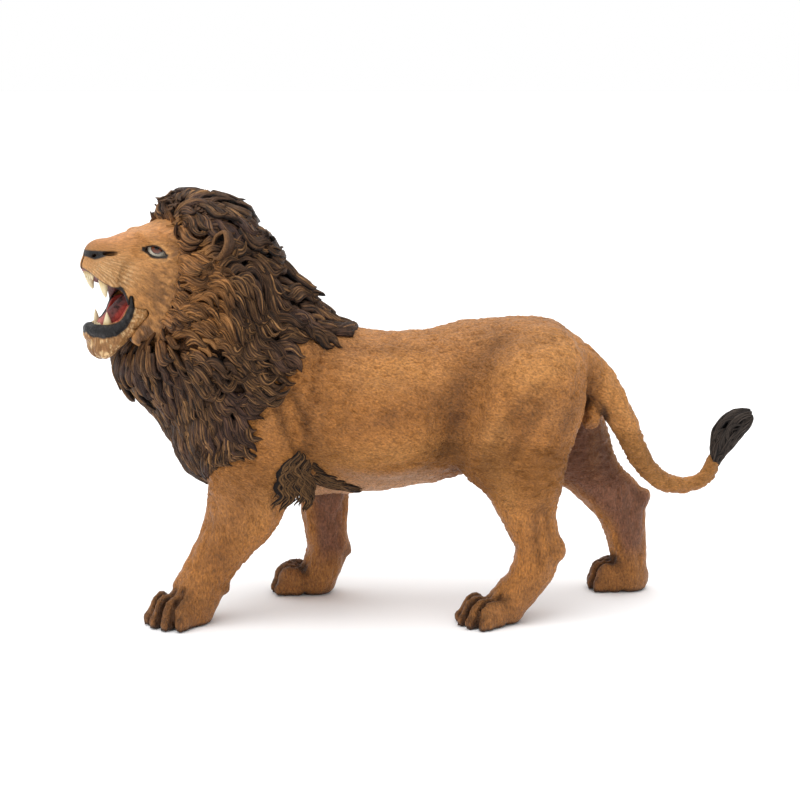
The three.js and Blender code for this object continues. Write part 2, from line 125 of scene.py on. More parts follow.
FAR_HINDLEG = [
    [34, 60, 20, 58.5, 4.6, 5],
    [38.4, 55.6, 15.4, 53, 6.4, 7.2],
    [40.6, 51.6, 14.4, 47, 7.8, 7.8],
    [42, 47, 16.5, 40, 8.8, 7.8],
    [44.4, 41, 22, 33.2, 10.2, 7],
    [46.6, 34.6, 29, 28, 11.6, 6.1],
    [49.2, 28.5, 36.2, 24, 12.8, 5.2],
    [53.2, 24.2, 41.4, 19.8, 13.4, 4.5],
    [54.9, 19.4, 44.4, 16.4, 13.8, 4.1],
    [55.1, 13.8, 46, 13, 14, 4],
    [55.4, 9, 47.2, 9.4, 14, 4.1],
    [55.2, 5, 47.4, 6, 14, 4.4],
    [54.4, 1.4, 47.6, 2.4, 14, 4.6],
]
TAIL = [
    [33, 60.6, 33, 50, 0, 4.2],
    [41.2, 56.7, 36.6, 50.2, 0, 4.6],
    [44.5, 53.2, 39, 47, 0, 4.6],
    [47, 49.8, 41.4, 45.2, 0.2, 4],
    [49, 46, 43.9, 42.3, 0.4, 3.6],
    [50.9, 41.8, 45.9, 38.8, 0.7, 3.3],
    [52.2, 37.9, 47.7, 35.5, 1, 3.1],
    [53.7, 34.6, 49.7, 32.3, 1.4, 2.9],
    [55.7, 31.3, 52.2, 28.8, 1.8, 2.7],
    [58.3, 29, 56, 25.8, 2.2, 2.5],
    [61.3, 28, 61.2, 24.5, 2.6, 2.2],
    [64.2, 28.6, 65.9, 25.8, 2.8, 1.9],
    [66, 30.3, 68.6, 28.1, 3, 1.7],
    [67, 32.6, 69.4, 31.2, 3, 1.4],
]
TAIL_TUFT = [
    [67.2, 31.4, 69.4, 30.2, 3, 1.1],
    [67.6, 33.4, 70, 31.8, 3, 1.7],
    [67.7, 35.7, 71, 33.2, 3, 2.4],
    [68.3, 38.9, 72.8, 35.6, 3, 2.8],
    [70.7, 41.9, 74.4, 37.6, 3, 2.5],
    [73.6, 43.2, 76, 39.4, 3, 1.9],
    [76, 42.9, 77, 41, 3, 1],
]
# Airbrushed clouds on both flanks, which are also painted light: the dark ones are airbrushed umber and painted
# shade in the hollows, the golden ones are painted highlights on the ribs, haunch and rump. x, z, half length, half
# width, tilt, and how dark (minus: how golden) it is.
SHADE_AND_SHEEN_SPRAYS = [
    [11.9, 45.5, 10, 3.6, 1.4, 0.75],  # flank
    [18.3, 56.6, 6.5, 2.6, 0.85, 0.6],  # hip
    [24.4, 43.2, 10.5, 2.6, 0.93, 0.5],  # thigh
    [-3.1, 44.3, 8.5, 2.3, 0.27, 0.5],  # ribs
    [-1, 57.6, 12, 1.2, -0.05, 0.45],  # beside the spine
    [34.3, 42.8, 6, 1.6, 1.2, 0.45],
    [18.7, 31.2, 4, 3, 1.6, 0.3],
    [-38.5, 14.5, 6, 4, 1.2, 0.5],
    [-46, 5, 6, 4, 0, 0.5],
    [-33, 28, 10, 6, 1.2, 0.42],  # upper arm
    [-18.5, 46, 8, 1.6, 1.35, 0.4],  # behind the shoulder
    [28, 18, 7, 1.8, 1.5, 0.2],
    [-14, 56.5, 6, 4, 0.6, 0.2],  # shoulder blade
    [-1, 53.3, 9, 3.4, 0.1, -0.8],  # upper ribs
    [-3.1, 36.4, 14, 3, 0.15, -0.75],  # lower ribs
    [29.1, 55.5, 9, 5, 0.3, -0.85],  # haunch
    [34, 60, 6, 3, -0.4, -0.6],  # rump
    [19.8, 41.5, 5, 2.6, 1.2, -0.7],
    [21.8, 28.9, 7, 2.6, 1.9, -0.6],  # shin
    [-29, 24, 7, 2.2, 1.1, -0.4],
]
MANE = [
    [-46.8, 82, -51, 62, -1.4, 8.4, 0.1, 0.5],
    [-47.8, 87, -56.6, 54.8, -1.3, 12.9, 0.16, 0.5],
    [-43.4, 89.3, -55.8, 48.6, -0.9, 16.4, 0.2, 0.42],
    [-36.4, 87.4, -52.2, 43.8, -0.5, 18.2, 0.22, 0.3],
    [-30.2, 82, -48.8, 40, -0.2, 18.8, 0.18, 0.2],
    [-25.4, 74.6, -45.8, 36, 0, 18.4, 0.1, 0.1],
    [-20.4, 68.6, -43.4, 32, 0, 17, 0.04, 0.05],
    [-15.2, 63.8, -40.2, 29, 0, 15.6, 0, 0],
    [-10.5, 59.6, -33, 28.6, 0, 12.6, 0, 0],
]
# The head's own frame: x is minus the distance ahead of HEAD_PLACE, -Y is the lion's left.
SKULL = [
    [12, 80, 10, 60, 0, 8, 0, 0],
    [8, 84, 7, 55, 0, 12, 0, 0],
    [3, 85.6, 3, 54, 0, 12, 0, 0],
    [-0.6, 84.6, -1.2, 55, 0, 10.6, 0, 0],
    [-3.6, 83.6, -4.6, 57, 0, 8.6, -0.04, 0],
    [-6.4, 82.6, -7.2, 59.4, 0, 7.2, 0.04, 0],
    [-8.6, 82, -9.4, 62.6, 0, 6.5, 0.08, 0],
    [-10.8, 81.2, -11.6, 66, 0, 6, 0.12, 0],
    [-13.2, 80.4, -14.2, 68.6, 0, 5.5, 0.16, 0],
    [-15.2, 79.6, -16.4, 70.8, 0, 4.6, 0.16, 0],
    [-16.2, 78.4, -17.6, 72.8, 0, 2.6, 0.1, 0],
]
JAW = [
    [-5.2, 66.8, -6.4, 64.6, 0, 7.2],
    [-6.4, 68.8, -7.9, 62.0, 0, 7.8],
    [-8.6, 70.2, -9.9, 59.2, 0, 7.4],
    [-10.2, 69.6, -12, 57.0, 0, 6.6],
    [-11.6, 66.4, -13.4, 56.2, 0, 5.9],
    [-13.8, 64.8, -15, 56.2, 0, 5.2],
    [-16, 64.3, -16.6, 57.4, 0, 3.9],
    [-17, 63.2, -17.2, 59.6, 0, 2.2],
]
MOUTH_HOLLOW = [
    [-5.6, 69.4, -5.4, 62, 0, 3.2],
    [-8.6, 71, -8.2, 60, 0, 4.6],
    [-10.4, 71.6, -9.6, 58, 0, 5.6],
    [-11.8, 72.2, -11, 56, 0, 8.2],
    [-14, 73, -14.6, 52, 0, 9],
    [-16, 74, -17, 50, 0, 9],
    [-21, 75.6, -21, 50, 0, 9],
]
JAW_BASIN = [
    [-5, 73, -5, 62.6, 0, 3.6],
    [-8, 74, -8, 62.2, 0, 5.0],
    [-11, 73, -11, 61.8, 0, 4.9],
    [-13.4, 71, -13.4, 61.8, 0, 4.0],
    [-15.4, 69, -15.4, 62.4, 0, 2.4],
]
TONGUE = [
    [-4, 71.6, -4.6, 61, 0, 2.4],
    [-7, 70.6, -7.4, 60, 0, 3.2],
    [-9.6, 68.8, -10, 60, 0, 3.3],
    [-12, 66.6, -12.2, 60, 0, 2.8],
    [-14.2, 64.4, -14.2, 60.6, 0, 1.9],
]
EAR_LEFT = np.array([-36.6, -15.2, 80.2])
EAR_RIGHT = np.array([-42.4, 13.4, 81.0])
EYE_PLACE = np.array([-3.9, -5.7, 78.1])  # the middle of the left eye's opening
EYE_RADIUS = 2.6
HAIR_FAN = (18.0, 80.0)  # ahead and up: the place that the face's short hair fans out from
WHISKER_FAN = (20.0, 78.5)  # the same for the strokes on the whisker pads
EYE_BACK = 2.5  # how far the ball's middle is behind the opening
CORNERS = [(c & 1, c >> 1 & 1, c >> 2 & 1) for c in range(8)]  # of a cell one wide, from its lowest corner
FULL_TURN = 2 * math.pi
CHUNK = 120000  # points whose distance is worked out at once
MANE_TOP = 91.1  # the highest that a lock's middle line may reach


def rgb(red: int, green: int, blue: int) -> Array:
    """A colour given as 0 to 255 screen values, in the linear values that a shader uses.

    Args:
        red, green, blue: screen values.

    Returns:
        Three linear numbers: c / 12.92 below 0.04045, else ((c + 0.055) / 1.055) ** 2.4.
    """
    c = np.array([red, green, blue], dtype=float) / 255
    return np.where(c <= 0.04045, c / 12.92, ((c + 0.055) / 1.055) ** 2.4)


def ramp(value: Array, low: float, high: float) -> Array:
    """Smooth step: t * t * (3 - 2 t) with t = (value - low) / (high - low) held to 0..1."""
    t = np.clip((value - low) / (high - low), 0, 1)
    return t * t * (3 - 2 * t)


def unit(vectors: Array) -> Array:
    """Vectors made one long."""
    return vectors / (np.linalg.norm(vectors, axis=-1, keepdims=True) + 1e-9)


def rotate(x: Array, y: Array, angle: float) -> tuple[Array, Array]:
    """Coordinates measured along axes that are turned by an angle: x cos + y sin, y cos - x sin."""
    c, s = math.cos(angle), math.sin(angle)
    return x * c + y * s, y * c - x * s


def spot(points: Array, place: tuple, radii: tuple) -> Array:
    """Soft spot of an airbrush: exp(-q) with q the squared distance from place in units of radii."""
    q = (((points - np.array(place)) / np.array(radii)) ** 2).sum(axis=1)
    return np.exp(-q)


def mix(below: Array, above: Array, amount: Array) -> Array:
    """Lays one colour over another: below * (1 - amount) + above * amount, for each point."""
    return below * (1 - amount[:, None]) + above * amount[:, None]


def coats(ground: Array, *layers: tuple) -> Array:
    """Lays coats of paint over a ground, in order.

    Args:
        ground: one colour, or one for each point.
        layers: pairs of a colour and how much of it lies on each point.

    Returns:
        A colour for each point.
    """
    for colour, amount in layers:
        ground = mix(ground, colour, amount)
    return ground


def polar(h: Array, ahead: float, up: float) -> tuple[Array, Array]:
    """Angle and distance of points, seen from the side, round a place ahead of the face that strokes fan out from.

    Args:
        h: points of the head's frame.
        ahead, up: the place is at x = -ahead, z = up.

    Returns:
        The angle above +X and the distance.
    """
    return np.arctan2(h[:, 2] - up, h[:, 0] + ahead), np.hypot(h[:, 2] - up, h[:, 0] + ahead)


def signed(v: Array) -> Array:
    """Angles from 0 to a full turn as angles from minus half a turn to half a turn."""
    return np.where(v > math.pi, v - FULL_TURN, v)


def ring_angles(sides: int) -> Array:
    """Angles of a ring's points: a full turn in equal parts."""
    return np.arange(sides) / sides * FULL_TURN


def tube_faces(tubes: int, rings: int, sides: int, turned: bool = False) -> list:
    """Faces of closed tubes whose points are numbered round each ring, ring after ring and tube after tube.

    Points k and k + 1 of a ring make a face with the same two of the next ring, and each end ring is one face.

    Args:
        tubes: how many there are.
        rings: rings of each.
        sides: points of a ring.
        turned: whether the faces look to the other side, as they must where ring, way round and outwards are
            left-handed.

    Returns:
        The faces as lists of point numbers.
    """
    k = np.arange(sides)
    first = (np.arange(tubes) * rings * sides)[:, None, None]
    row = (np.arange(rings - 1) * sides)[None, :, None]
    here, there = first + row + k, first + row + np.roll(k, -1)
    quads = np.stack([here, here + sides, there + sides, there], axis=-1).reshape(-1, 4)
    start, end = first[:, 0] + k, first[:, 0] + (rings - 1) * sides + k
    if turned:
        return quads[:, [0, 3, 2, 1]].tolist() + start[:, ::-1].tolist() + end.tolist()
    return quads.tolist() + start.tolist() + end[:, ::-1].tolist()


def grain(points: Array, size: float, seed: int) -> Array:
    """Smooth random field of values between -1 and 1 with features of the given size.

    A whole-number hash gives each corner of a lattice its value, and the eight corners round a point are
    blended by smooth steps.

    Args:
        points: places, one row each.
        size: lattice spacing in the points' units.
        seed: number that picks the field.

    Returns:
        One value for each point.
    """
    q = points / size + 1000.0
    base = np.floor(q).astype(np.int64)
    f = q - base
    f = f * f * (3 - 2 * f)
    total = np.zeros(len(points))
    for corner in CORNERS:
        cell = (base + corner).astype(np.uint64)
        i, j, k = cell.T
        mixed = i * np.uint64(73856093) ^ j * np.uint64(19349663) ^ k * np.uint64(83492791)
        mixed = (mixed + np.uint64(seed * 7919 + 17)) * np.uint64(2654435761) & np.uint64(0xFFFFFFFF)
        mixed = (mixed ^ mixed >> np.uint64(15)) * np.uint64(2246822519) & np.uint64(0xFFFFFFFF)
        value = (mixed ^ mixed >> np.uint64(13)).astype(float) / 2147483648.0 - 1.0
        total += value * np.prod(np.where(corner, f, 1 - f), axis=1)
    return total


def soft_join(a: Array, b: Array, reach: float) -> Array:
    """Union of two fields with a fillet: min(a, b) - h^2 * reach / 4, with h = max(reach - |a - b|, 0) / reach."""
    h = np.maximum(reach - np.abs(a - b), 0) / reach
    return np.minimum(a, b) - h * h * reach * 0.25


def soft_cut(a: Array, b: Array, reach: float) -> Array:
    """Form a with form b taken out of it, its edge rounded: minus the soft join of minus a and b."""
    return -soft_join(-a, b, reach)


@dataclass
class Loft:
    """A form that changes from station to station along the body.

    Attributes:
        rows: the stations, as the tables at the top give them.
        blunt: length of the rounded ends as a share of the end station's smaller half size.
    """

    rows: list
    blunt: float = 0.6

    def stations(self, u: Array) -> Array:
        """Catmull-Rom values of the stations at u, from 0 at the first row to 1 at the last.

        Args:
            u: places along the form, any shape.

        Returns:
            The stations' eight values at each u, on a last axis.
        """
        table = np.array(self.rows, dtype=float)
        table = np.pad(table, ((0, 0), (0, 8 - table.shape[1])))
        padded = np.vstack([table[:1], table, table[-1:]])
        place = np.clip(u, 0, 1) * (len(table) - 1)
        i = np.minimum(place.astype(int), len(table) - 2)
        t = (place - i)[..., None]
        a, b, c, d = padded[i], padded[i + 1], padded[i + 2], padded[i + 3]
        return 0.5 * (
            2 * b + (c - a) * t + (2 * a - 5 * b + 4 * c - d) * t * t + (3 * b - a - 3 * c + d) * t * t * t
        )

    def surface(self, u: Array, v: Array) -> Array:
        """Points of the skin: middle + edge vector * cos v, and across = -half * (1 - spread cos v) * sin v in Y.

        Args:
            u: places along the form.
            v: angles from the first edge round by -Y, of the same shape.

        Returns:
            Points on a last axis of three.
        """
        s = self.stations(u)
        c = np.cos(v)
        across = -s[..., 5] * (1 - s[..., 6] * c) * np.sin(v)
        x = (s[..., 0] + s[..., 2]) / 2 + (s[..., 0] - s[..., 2]) / 2 * c - s[..., 7] * across
        z = (s[..., 1] + s[..., 3]) / 2 + (s[..., 1] - s[..., 3]) / 2 * c
        return np.stack([x, s[..., 4] + across, z], axis=-1)

    def slopes(self, u: Array, v: Array) -> tuple[Array, Array, Array]:
        """Change of the skin along u and v by central differences, and the unit normal, their cross product."""
        e = 0.004
        along = (self.surface(u + e, v) - self.surface(u - e, v)) / (2 * e)
        around = (self.surface(u, v + e) - self.surface(u, v - e)) / (2 * e)
        return along, around, unit(np.cross(around, along))

    def distance(self, points: Array) -> Array:
        """About how far each point is outside the form, negative inside.

        A point lies between two neighbouring stations' planes; their values are blended to give its own ellipse
        with half sizes L and w. With q = |(a / L, b / w)| and g = |(a / L^2, b / w^2)| the distance is
        q (q - 1) / g. Past the ends a third term rounds the form off.

        Args:
            points: places, one row each.

        Returns:
            One distance for each point.
        """
        line = self.stations(np.linspace(0, 1, (len(self.rows) - 1) * 4 + 1)).astype(np.float32)
        edge = (line[:, 0:2] - line[:, 2:4]) / 2
        middle = (line[:, 0:2] + line[:, 2:4]) / 2
        length = np.linalg.norm(edge, axis=1)
        unit = edge / length[:, None]
        normal = np.stack([-unit[:, 1], unit[:, 0]], axis=1)
        travel = np.gradient(middle, axis=0)
        normal *= np.where((normal * travel).sum(axis=1) < 0, -1, 1)[:, None]
        result = np.empty(len(points), dtype=np.float32)
        last = len(line) - 1
        for start in range(0, len(points), CHUNK):
            p = points[start : start + CHUNK].astype(np.float32)
            dy = p[:, 1:2] - line[None, :, 4]
            dx = p[:, 0:1] + line[None, :, 7] * dy - middle[None, :, 0]
            dz = p[:, 2:3] - middle[None, :, 1]
            ahead = dx * normal[None, :, 0] + dz * normal[None, :, 1]
            side = dx * unit[None, :, 0] + dz * unit[None, :, 1]
            cost = (side / length) ** 2 + (dy / line[:, 5]) ** 2
            between = (ahead[:, :-1] >= 0) & (ahead[:, 1:] < 0)
            masked = np.where(between, cost[:, :-1], np.inf)
            i = masked.argmin(axis=1)
            row = np.arange(len(p))
            found = np.isfinite(masked[row, i])
            start_cost = np.where(ahead[:, 0] < 0, cost[:, 0] + (ahead[:, 0] / length[0]) ** 2, np.inf)
            end_cost = np.where(ahead[:, -1] >= 0, cost[:, -1] + (ahead[:, -1] / length[-1]) ** 2, np.inf)
            at_end = ~found
            i = np.where(at_end & (start_cost <= end_cost), 0, i)
            i = np.where(at_end & (start_cost > end_cost), last - 1, i)
            j = i + 1
            t = ahead[row, i] / (ahead[row, i] - ahead[row, j] + 1e-9)
            t = np.where(at_end, (i > 0).astype(np.float32), np.clip(t, 0, 1))
            blend = line[i] * (1 - t)[:, None] + line[j] * t[:, None]
            half = length[i] * (1 - t) + length[j] * t
            a = side[row, i] * (1 - t) + side[row, j] * t
            b = p[:, 1] - blend[:, 4]
            w = blend[:, 5] * (1 - blend[:, 6] * np.clip(a / half, -1, 1))
            past = np.where(at_end, np.where(i > 0, ahead[:, -1], -ahead[:, 0]), 0)
            cap = np.maximum(self.blunt * np.minimum(half, w), 0.3)
            q = np.sqrt((a / half) ** 2 + (b / w) ** 2 + (past / cap) ** 2) + 1e-6
            g = np.sqrt((a / half**2) ** 2 + (b / w**2) ** 2 + (past / cap**2) ** 2) + 1e-6
            result[start : start + CHUNK] = np.where(q < 0.2, -0.9 * np.minimum(half, w), q * (q - 1) / g)
        return result


@dataclass(frozen=True)
class Lump:
    """An egg of muscle, bone or hair that is blended into a form, or a hollow that is taken out of it.

    Attributes:
        place: its middle.
        radii: its three radii.
        turn: its turn about Z.
        tilt: its turn about Y, made first.
        blend: width of the fillet round it.
        hollow: whether it is taken out.
    """

    place: tuple
    radii: tuple
    turn: float = 0.0
    tilt: float = 0.0
    blend: float = 1.5
    hollow: bool = False

    def distance(self, points: Array) -> Array:
        """Distance from the egg: q (q - 1) / g with q = |p / r| and g = |p / r^2|, p in the egg's own axes."""
        x, y, z = (points - np.array(self.place)).T
        x, y = rotate(x, y, self.turn)
        x, z = rotate(x, z, -self.tilt)
        own = np.stack([x, y, z], axis=1)
        r = np.array(self.radii)
        q = np.linalg.norm(own / r, axis=1) + 1e-6
        g = np.linalg.norm(own / r**2, axis=1) + 1e-6
        return q * (q - 1) / g


def with_lumps(value: Array, points: Array, lumps: list) -> Array:
    """Blends eggs and hollows into a distance field, each only near itself.

    Args:
        value: the field so far.
        points: the places that it is for.
        lumps: the eggs and hollows, in order.

    Returns:
        The new field.
    """
    value = value.copy()
    for lump in lumps:
        reach = max(lump.radii) + lump.blend + 2.5
        near = (np.abs(points - np.array(lump.place)) < reach).all(axis=1)
        own = lump.distance(points[near])
        mixer = soft_cut if lump.hollow else soft_join
        value[near] = mixer(value[near], own, lump.blend)
    return value


def rope(points: Array, line: Array, radius: list) -> tuple[Array, Array]:
    """Distance from a rope along a line: each piece of it is a capsule whose radius changes evenly.

    Args:
        points: places, one row each.
        line: the rope's corners.
        radius: its radius at each corner.

    Returns:
        For each place, its distance from the rope and how far along the rope it is.
    """
    best = np.full(len(points), 1e6)
    place = np.zeros(len(points))
    travel = 0.0
    for a, b, thick, thin in zip(line[:-1], line[1:], radius[:-1], radius[1:]):
        long = np.linalg.norm(b - a)
        t = np.clip((points - a) @ (b - a) / long**2, 0, 1)
        own = np.linalg.norm(points - a - t[:, None] * (b - a), axis=1) - thick + (thick - thin) * t
        place = np.where(own < best, travel + t * long, place)
        best = np.minimum(best, own)
        travel += long
    return best, place


def slope_of(distance: Form, points: Array) -> Array:
    """Unit slope of a distance field, by differences over 0.05 mm to either side."""
    steps = np.eye(3) * 0.05
    return unit(np.stack([distance(points + step) - distance(points - step) for step in steps], axis=1))


def both_sides(lumps: list) -> list:
    """The eggs and hollows given, with a mirror image of each across y = 0."""
    mirrored = [
        Lump((p.place[0], -p.place[1], p.place[2]), p.radii, -p.turn, p.tilt, p.blend, p.hollow) for p in lumps
    ]
    return lumps + mirrored


@dataclass
class Skin:
    """The surface where a distance field is zero.

    Attributes:
        distance: function from points to distances.
        low: lowest corner of the space that is searched.
        high: its highest corner.
        step: size of the grid's cells.
    """

    distance: Form
    low: tuple
    high: tuple
    step: float

    def grid(self) -> tuple[Array, Array]:
        """Fills a grid with the field: exactly near the surface, and from every fourth point elsewhere.

        The outermost layer counts as outside, so a form that the box cuts is closed there.

        Returns:
            The origin and the values.
        """
        low = np.array(self.low, dtype=float)
        cells = np.ceil((np.array(self.high) - low) / self.step / 4).astype(int)
        axes = [low[k] + self.step * 4 * np.arange(cells[k] + 1) for k in range(3)]
        coarse_points = np.stack(np.meshgrid(*axes, indexing="ij"), axis=-1).reshape(-1, 3)
        coarse = self.distance(coarse_points).reshape(cells + 1)
        near = np.abs(coarse) < self.step * 4 * 1.9
        active = np.zeros(cells, dtype=bool)
        for i, j, k in CORNERS:
            active |= near[i : i + cells[0], j : j + cells[1], k : k + cells[2]]
        fine = active.repeat(4, 0).repeat(4, 1).repeat(4, 2)
        mask = np.zeros(cells * 4 + 1, dtype=bool)
        for i, j, k in CORNERS:
            mask[i : i + fine.shape[0], j : j + fine.shape[1], k : k + fine.shape[2]] |= fine
        spread = coarse.repeat(4, 0).repeat(4, 1).repeat(4, 2)
        values = spread[: mask.shape[0], : mask.shape[1], : mask.shape[2]].astype(np.float32)
        where = np.argwhere(mask)
        values[mask] = self.distance(low + where * self.step)
        for axis in range(3):
            for end in (0, -1):
                layer = np.moveaxis(values, axis, 0)[end]
                np.maximum(layer, self.step, out=layer)
        return low, values

    def mesh(self) -> tuple[Array, Array]:
        """Net of the surface: a point in each cell that it crosses, the mean of the crossings on the cell's edges.

        Returns:
            Points and faces of four, pointing outwards.
        """
        low, values = self.grid()
        inside = values < 0
        count = np.zeros(np.array(inside.shape) - 1, dtype=np.int8)
        n = count.shape
        for i, j, k in CORNERS:
            count += inside[i : i + n[0], j : j + n[1], k : k + n[2]]
        cells = np.argwhere((count > 0) & (count < 8))
        index = np.full(n, -1, dtype=np.int64)
        index[tuple(cells.T)] = np.arange(len(cells))
        total = np.zeros((len(cells), 3))
        hits = np.zeros(len(cells))
        for a in CORNERS:
            for axis in range(3):
                if a[axis]:
                    continue
                b = tuple(a[m] + (m == axis) for m in range(3))
                va = values[tuple((cells + a).T)]
                vb = values[tuple((cells + b).T)]
                cross = (va < 0) != (vb < 0)
                t = np.where(cross, va / np.where(cross, va - vb, 1), 0)
                place = np.array(a, dtype=float) + t[:, None] * (np.array(b) - np.array(a))
                total += place * cross[:, None]
                hits += cross
        points = low + (cells + total / hits[:, None]) * self.step
        faces = []
        for axis in range(3):
            u, v = (axis + 1) % 3, (axis + 2) % 3
            lower = np.take(inside, range(inside.shape[axis] - 1), axis)
            upper = np.take(inside, range(1, inside.shape[axis]), axis)
            for out, pick in ((True, lower & ~upper), (False, ~lower & upper)):
                edges = np.argwhere(pick)
                edges = edges[(edges[:, u] > 0) & (edges[:, v] > 0)]
                edges = edges[(edges[:, u] < n[u]) & (edges[:, v] < n[v])]
                ring = []
                for du, dv in ((1, 1), (0, 1), (0, 0), (1, 0)):
                    cell = edges.copy()
                    cell[:, u] -= du
                    cell[:, v] -= dv
                    ring.append(index[tuple(cell.T)])
                quad = np.stack(ring, axis=1)
                faces.append(quad if out else quad[:, ::-1])
        return points, np.vstack(faces)


def relaxed(points: Array, faces: Array, rounds: int, amount: float) -> Array:
    """Evens out a net: each point moves a share of the way to the mean of its neighbours along the faces' edges.

    Args:
        points: the net's points.
        faces: its faces of four.
        rounds: how many times it is done.
        amount: the share.

    Returns:
        The moved points.
    """
    a = faces.ravel()
    b = np.roll(faces, -1, axis=1).ravel()
    degree = np.bincount(a, minlength=len(points)) + np.bincount(b, minlength=len(points))
    for _ in range(rounds):
        total = np.zeros_like(points)
        for k in range(3):
            total[:, k] = np.bincount(a, points[b, k], len(points)) + np.bincount(b, points[a, k], len(points))
        points = points + amount * (total / degree[:, None] - points)
    return points


def normals_of(points: Array, faces: Array) -> Array:
    """Unit normals at a net's points: the sum of the faces' cross products of diagonals round each point."""
    diagonal = np.cross(points[faces[:, 2]] - points[faces[:, 0]], points[faces[:, 3]] - points[faces[:, 1]])
    total = np.zeros_like(points)
    for k in range(3):
        share = np.repeat(diagonal[:, k], 4)
        total[:, k] = np.bincount(faces.ravel(), share, len(points))
    return unit(total)


def cavity_of(distance: Form, points: Array, normal: Array, reach: float) -> Array:
    """How deep points lie in grooves: 1 less the field's value at reach off the skin over reach, held to 0..1."""
    return np.clip(1 - distance(points + normal * reach) / reach, 0, 1)


def net_step(step: float) -> float:
    return step * 1


def to_head(points: Array) -> Array:
    """Points in the head's own frame: moved by minus HEAD_PLACE, then turned by minus HEAD_TURN about Z."""
    x, y, z = (points - HEAD_PLACE).T
    return np.stack([*rotate(x, y, HEAD_TURN), z], axis=1)


def from_head(points: Array) -> Array:
    """Points of the head's own frame in the sculptor's coordinates, the reverse of to_head."""
    x, y, z = points.T
    return np.stack([*rotate(x, y, -HEAD_TURN), z], axis=1) + HEAD_PLACE


class Node(Enum):
    """The CAD nodes that the dressed pieces stand for, with the record's material slots."""

    BODY = ("lion_body", "painted_body")
    JAW = ("lower_jaw", "painted_jaw")


def add_piece(
    name: str, points: Array, faces: Array | list, material: bpy.types.Material, node: Node,
    paint: Array, comb: Array | None = None,
) -> None:
    """Makes a mesh piece, dresses it and hangs it on the frame.

    Args:
        name: the piece's name.
        points: its points in the sculptor's millimetres.
        faces: its faces, an array of four point numbers each or a list of any.
        material: its material.
        node: the CAD node that it stands for.
        paint: linear colours, one for each point.
        comb: each point's place in the hair, in millimetres, drawn together along the hair.
    """
    mesh = bpy.data.meshes.new(name)
    place = (points - BOX_MIDDLE) * MM
    rows = faces.tolist() if isinstance(faces, Array) else faces
    mesh.from_pydata(place.tolist(), [], rows)
    mesh.update()
    layer = mesh.color_attributes.new("paint", "FLOAT_COLOR", "POINT")
    rgba = np.ones((len(points), 4), dtype=np.float32)
    rgba[:, :3] = np.clip(paint, 0, 1)
    layer.data.foreach_set("color", rgba.ravel())
    if comb is not None:
        layer = mesh.attributes.new("comb", "FLOAT_VECTOR", "POINT")
        layer.data.foreach_set("vector", comb.astype(np.float32).ravel())
    mesh.polygons.foreach_set("use_smooth", [True] * len(mesh.polygons))
    mesh.materials.append(material)
    thing = bpy.data.objects.new(name, mesh)
    bpy.context.scene.collection.objects.link(thing)
    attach(thing, "root")
    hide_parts(node.value[0])
    LOG.info("%s: %d points, %d faces", name, len(points), len(mesh.polygons))


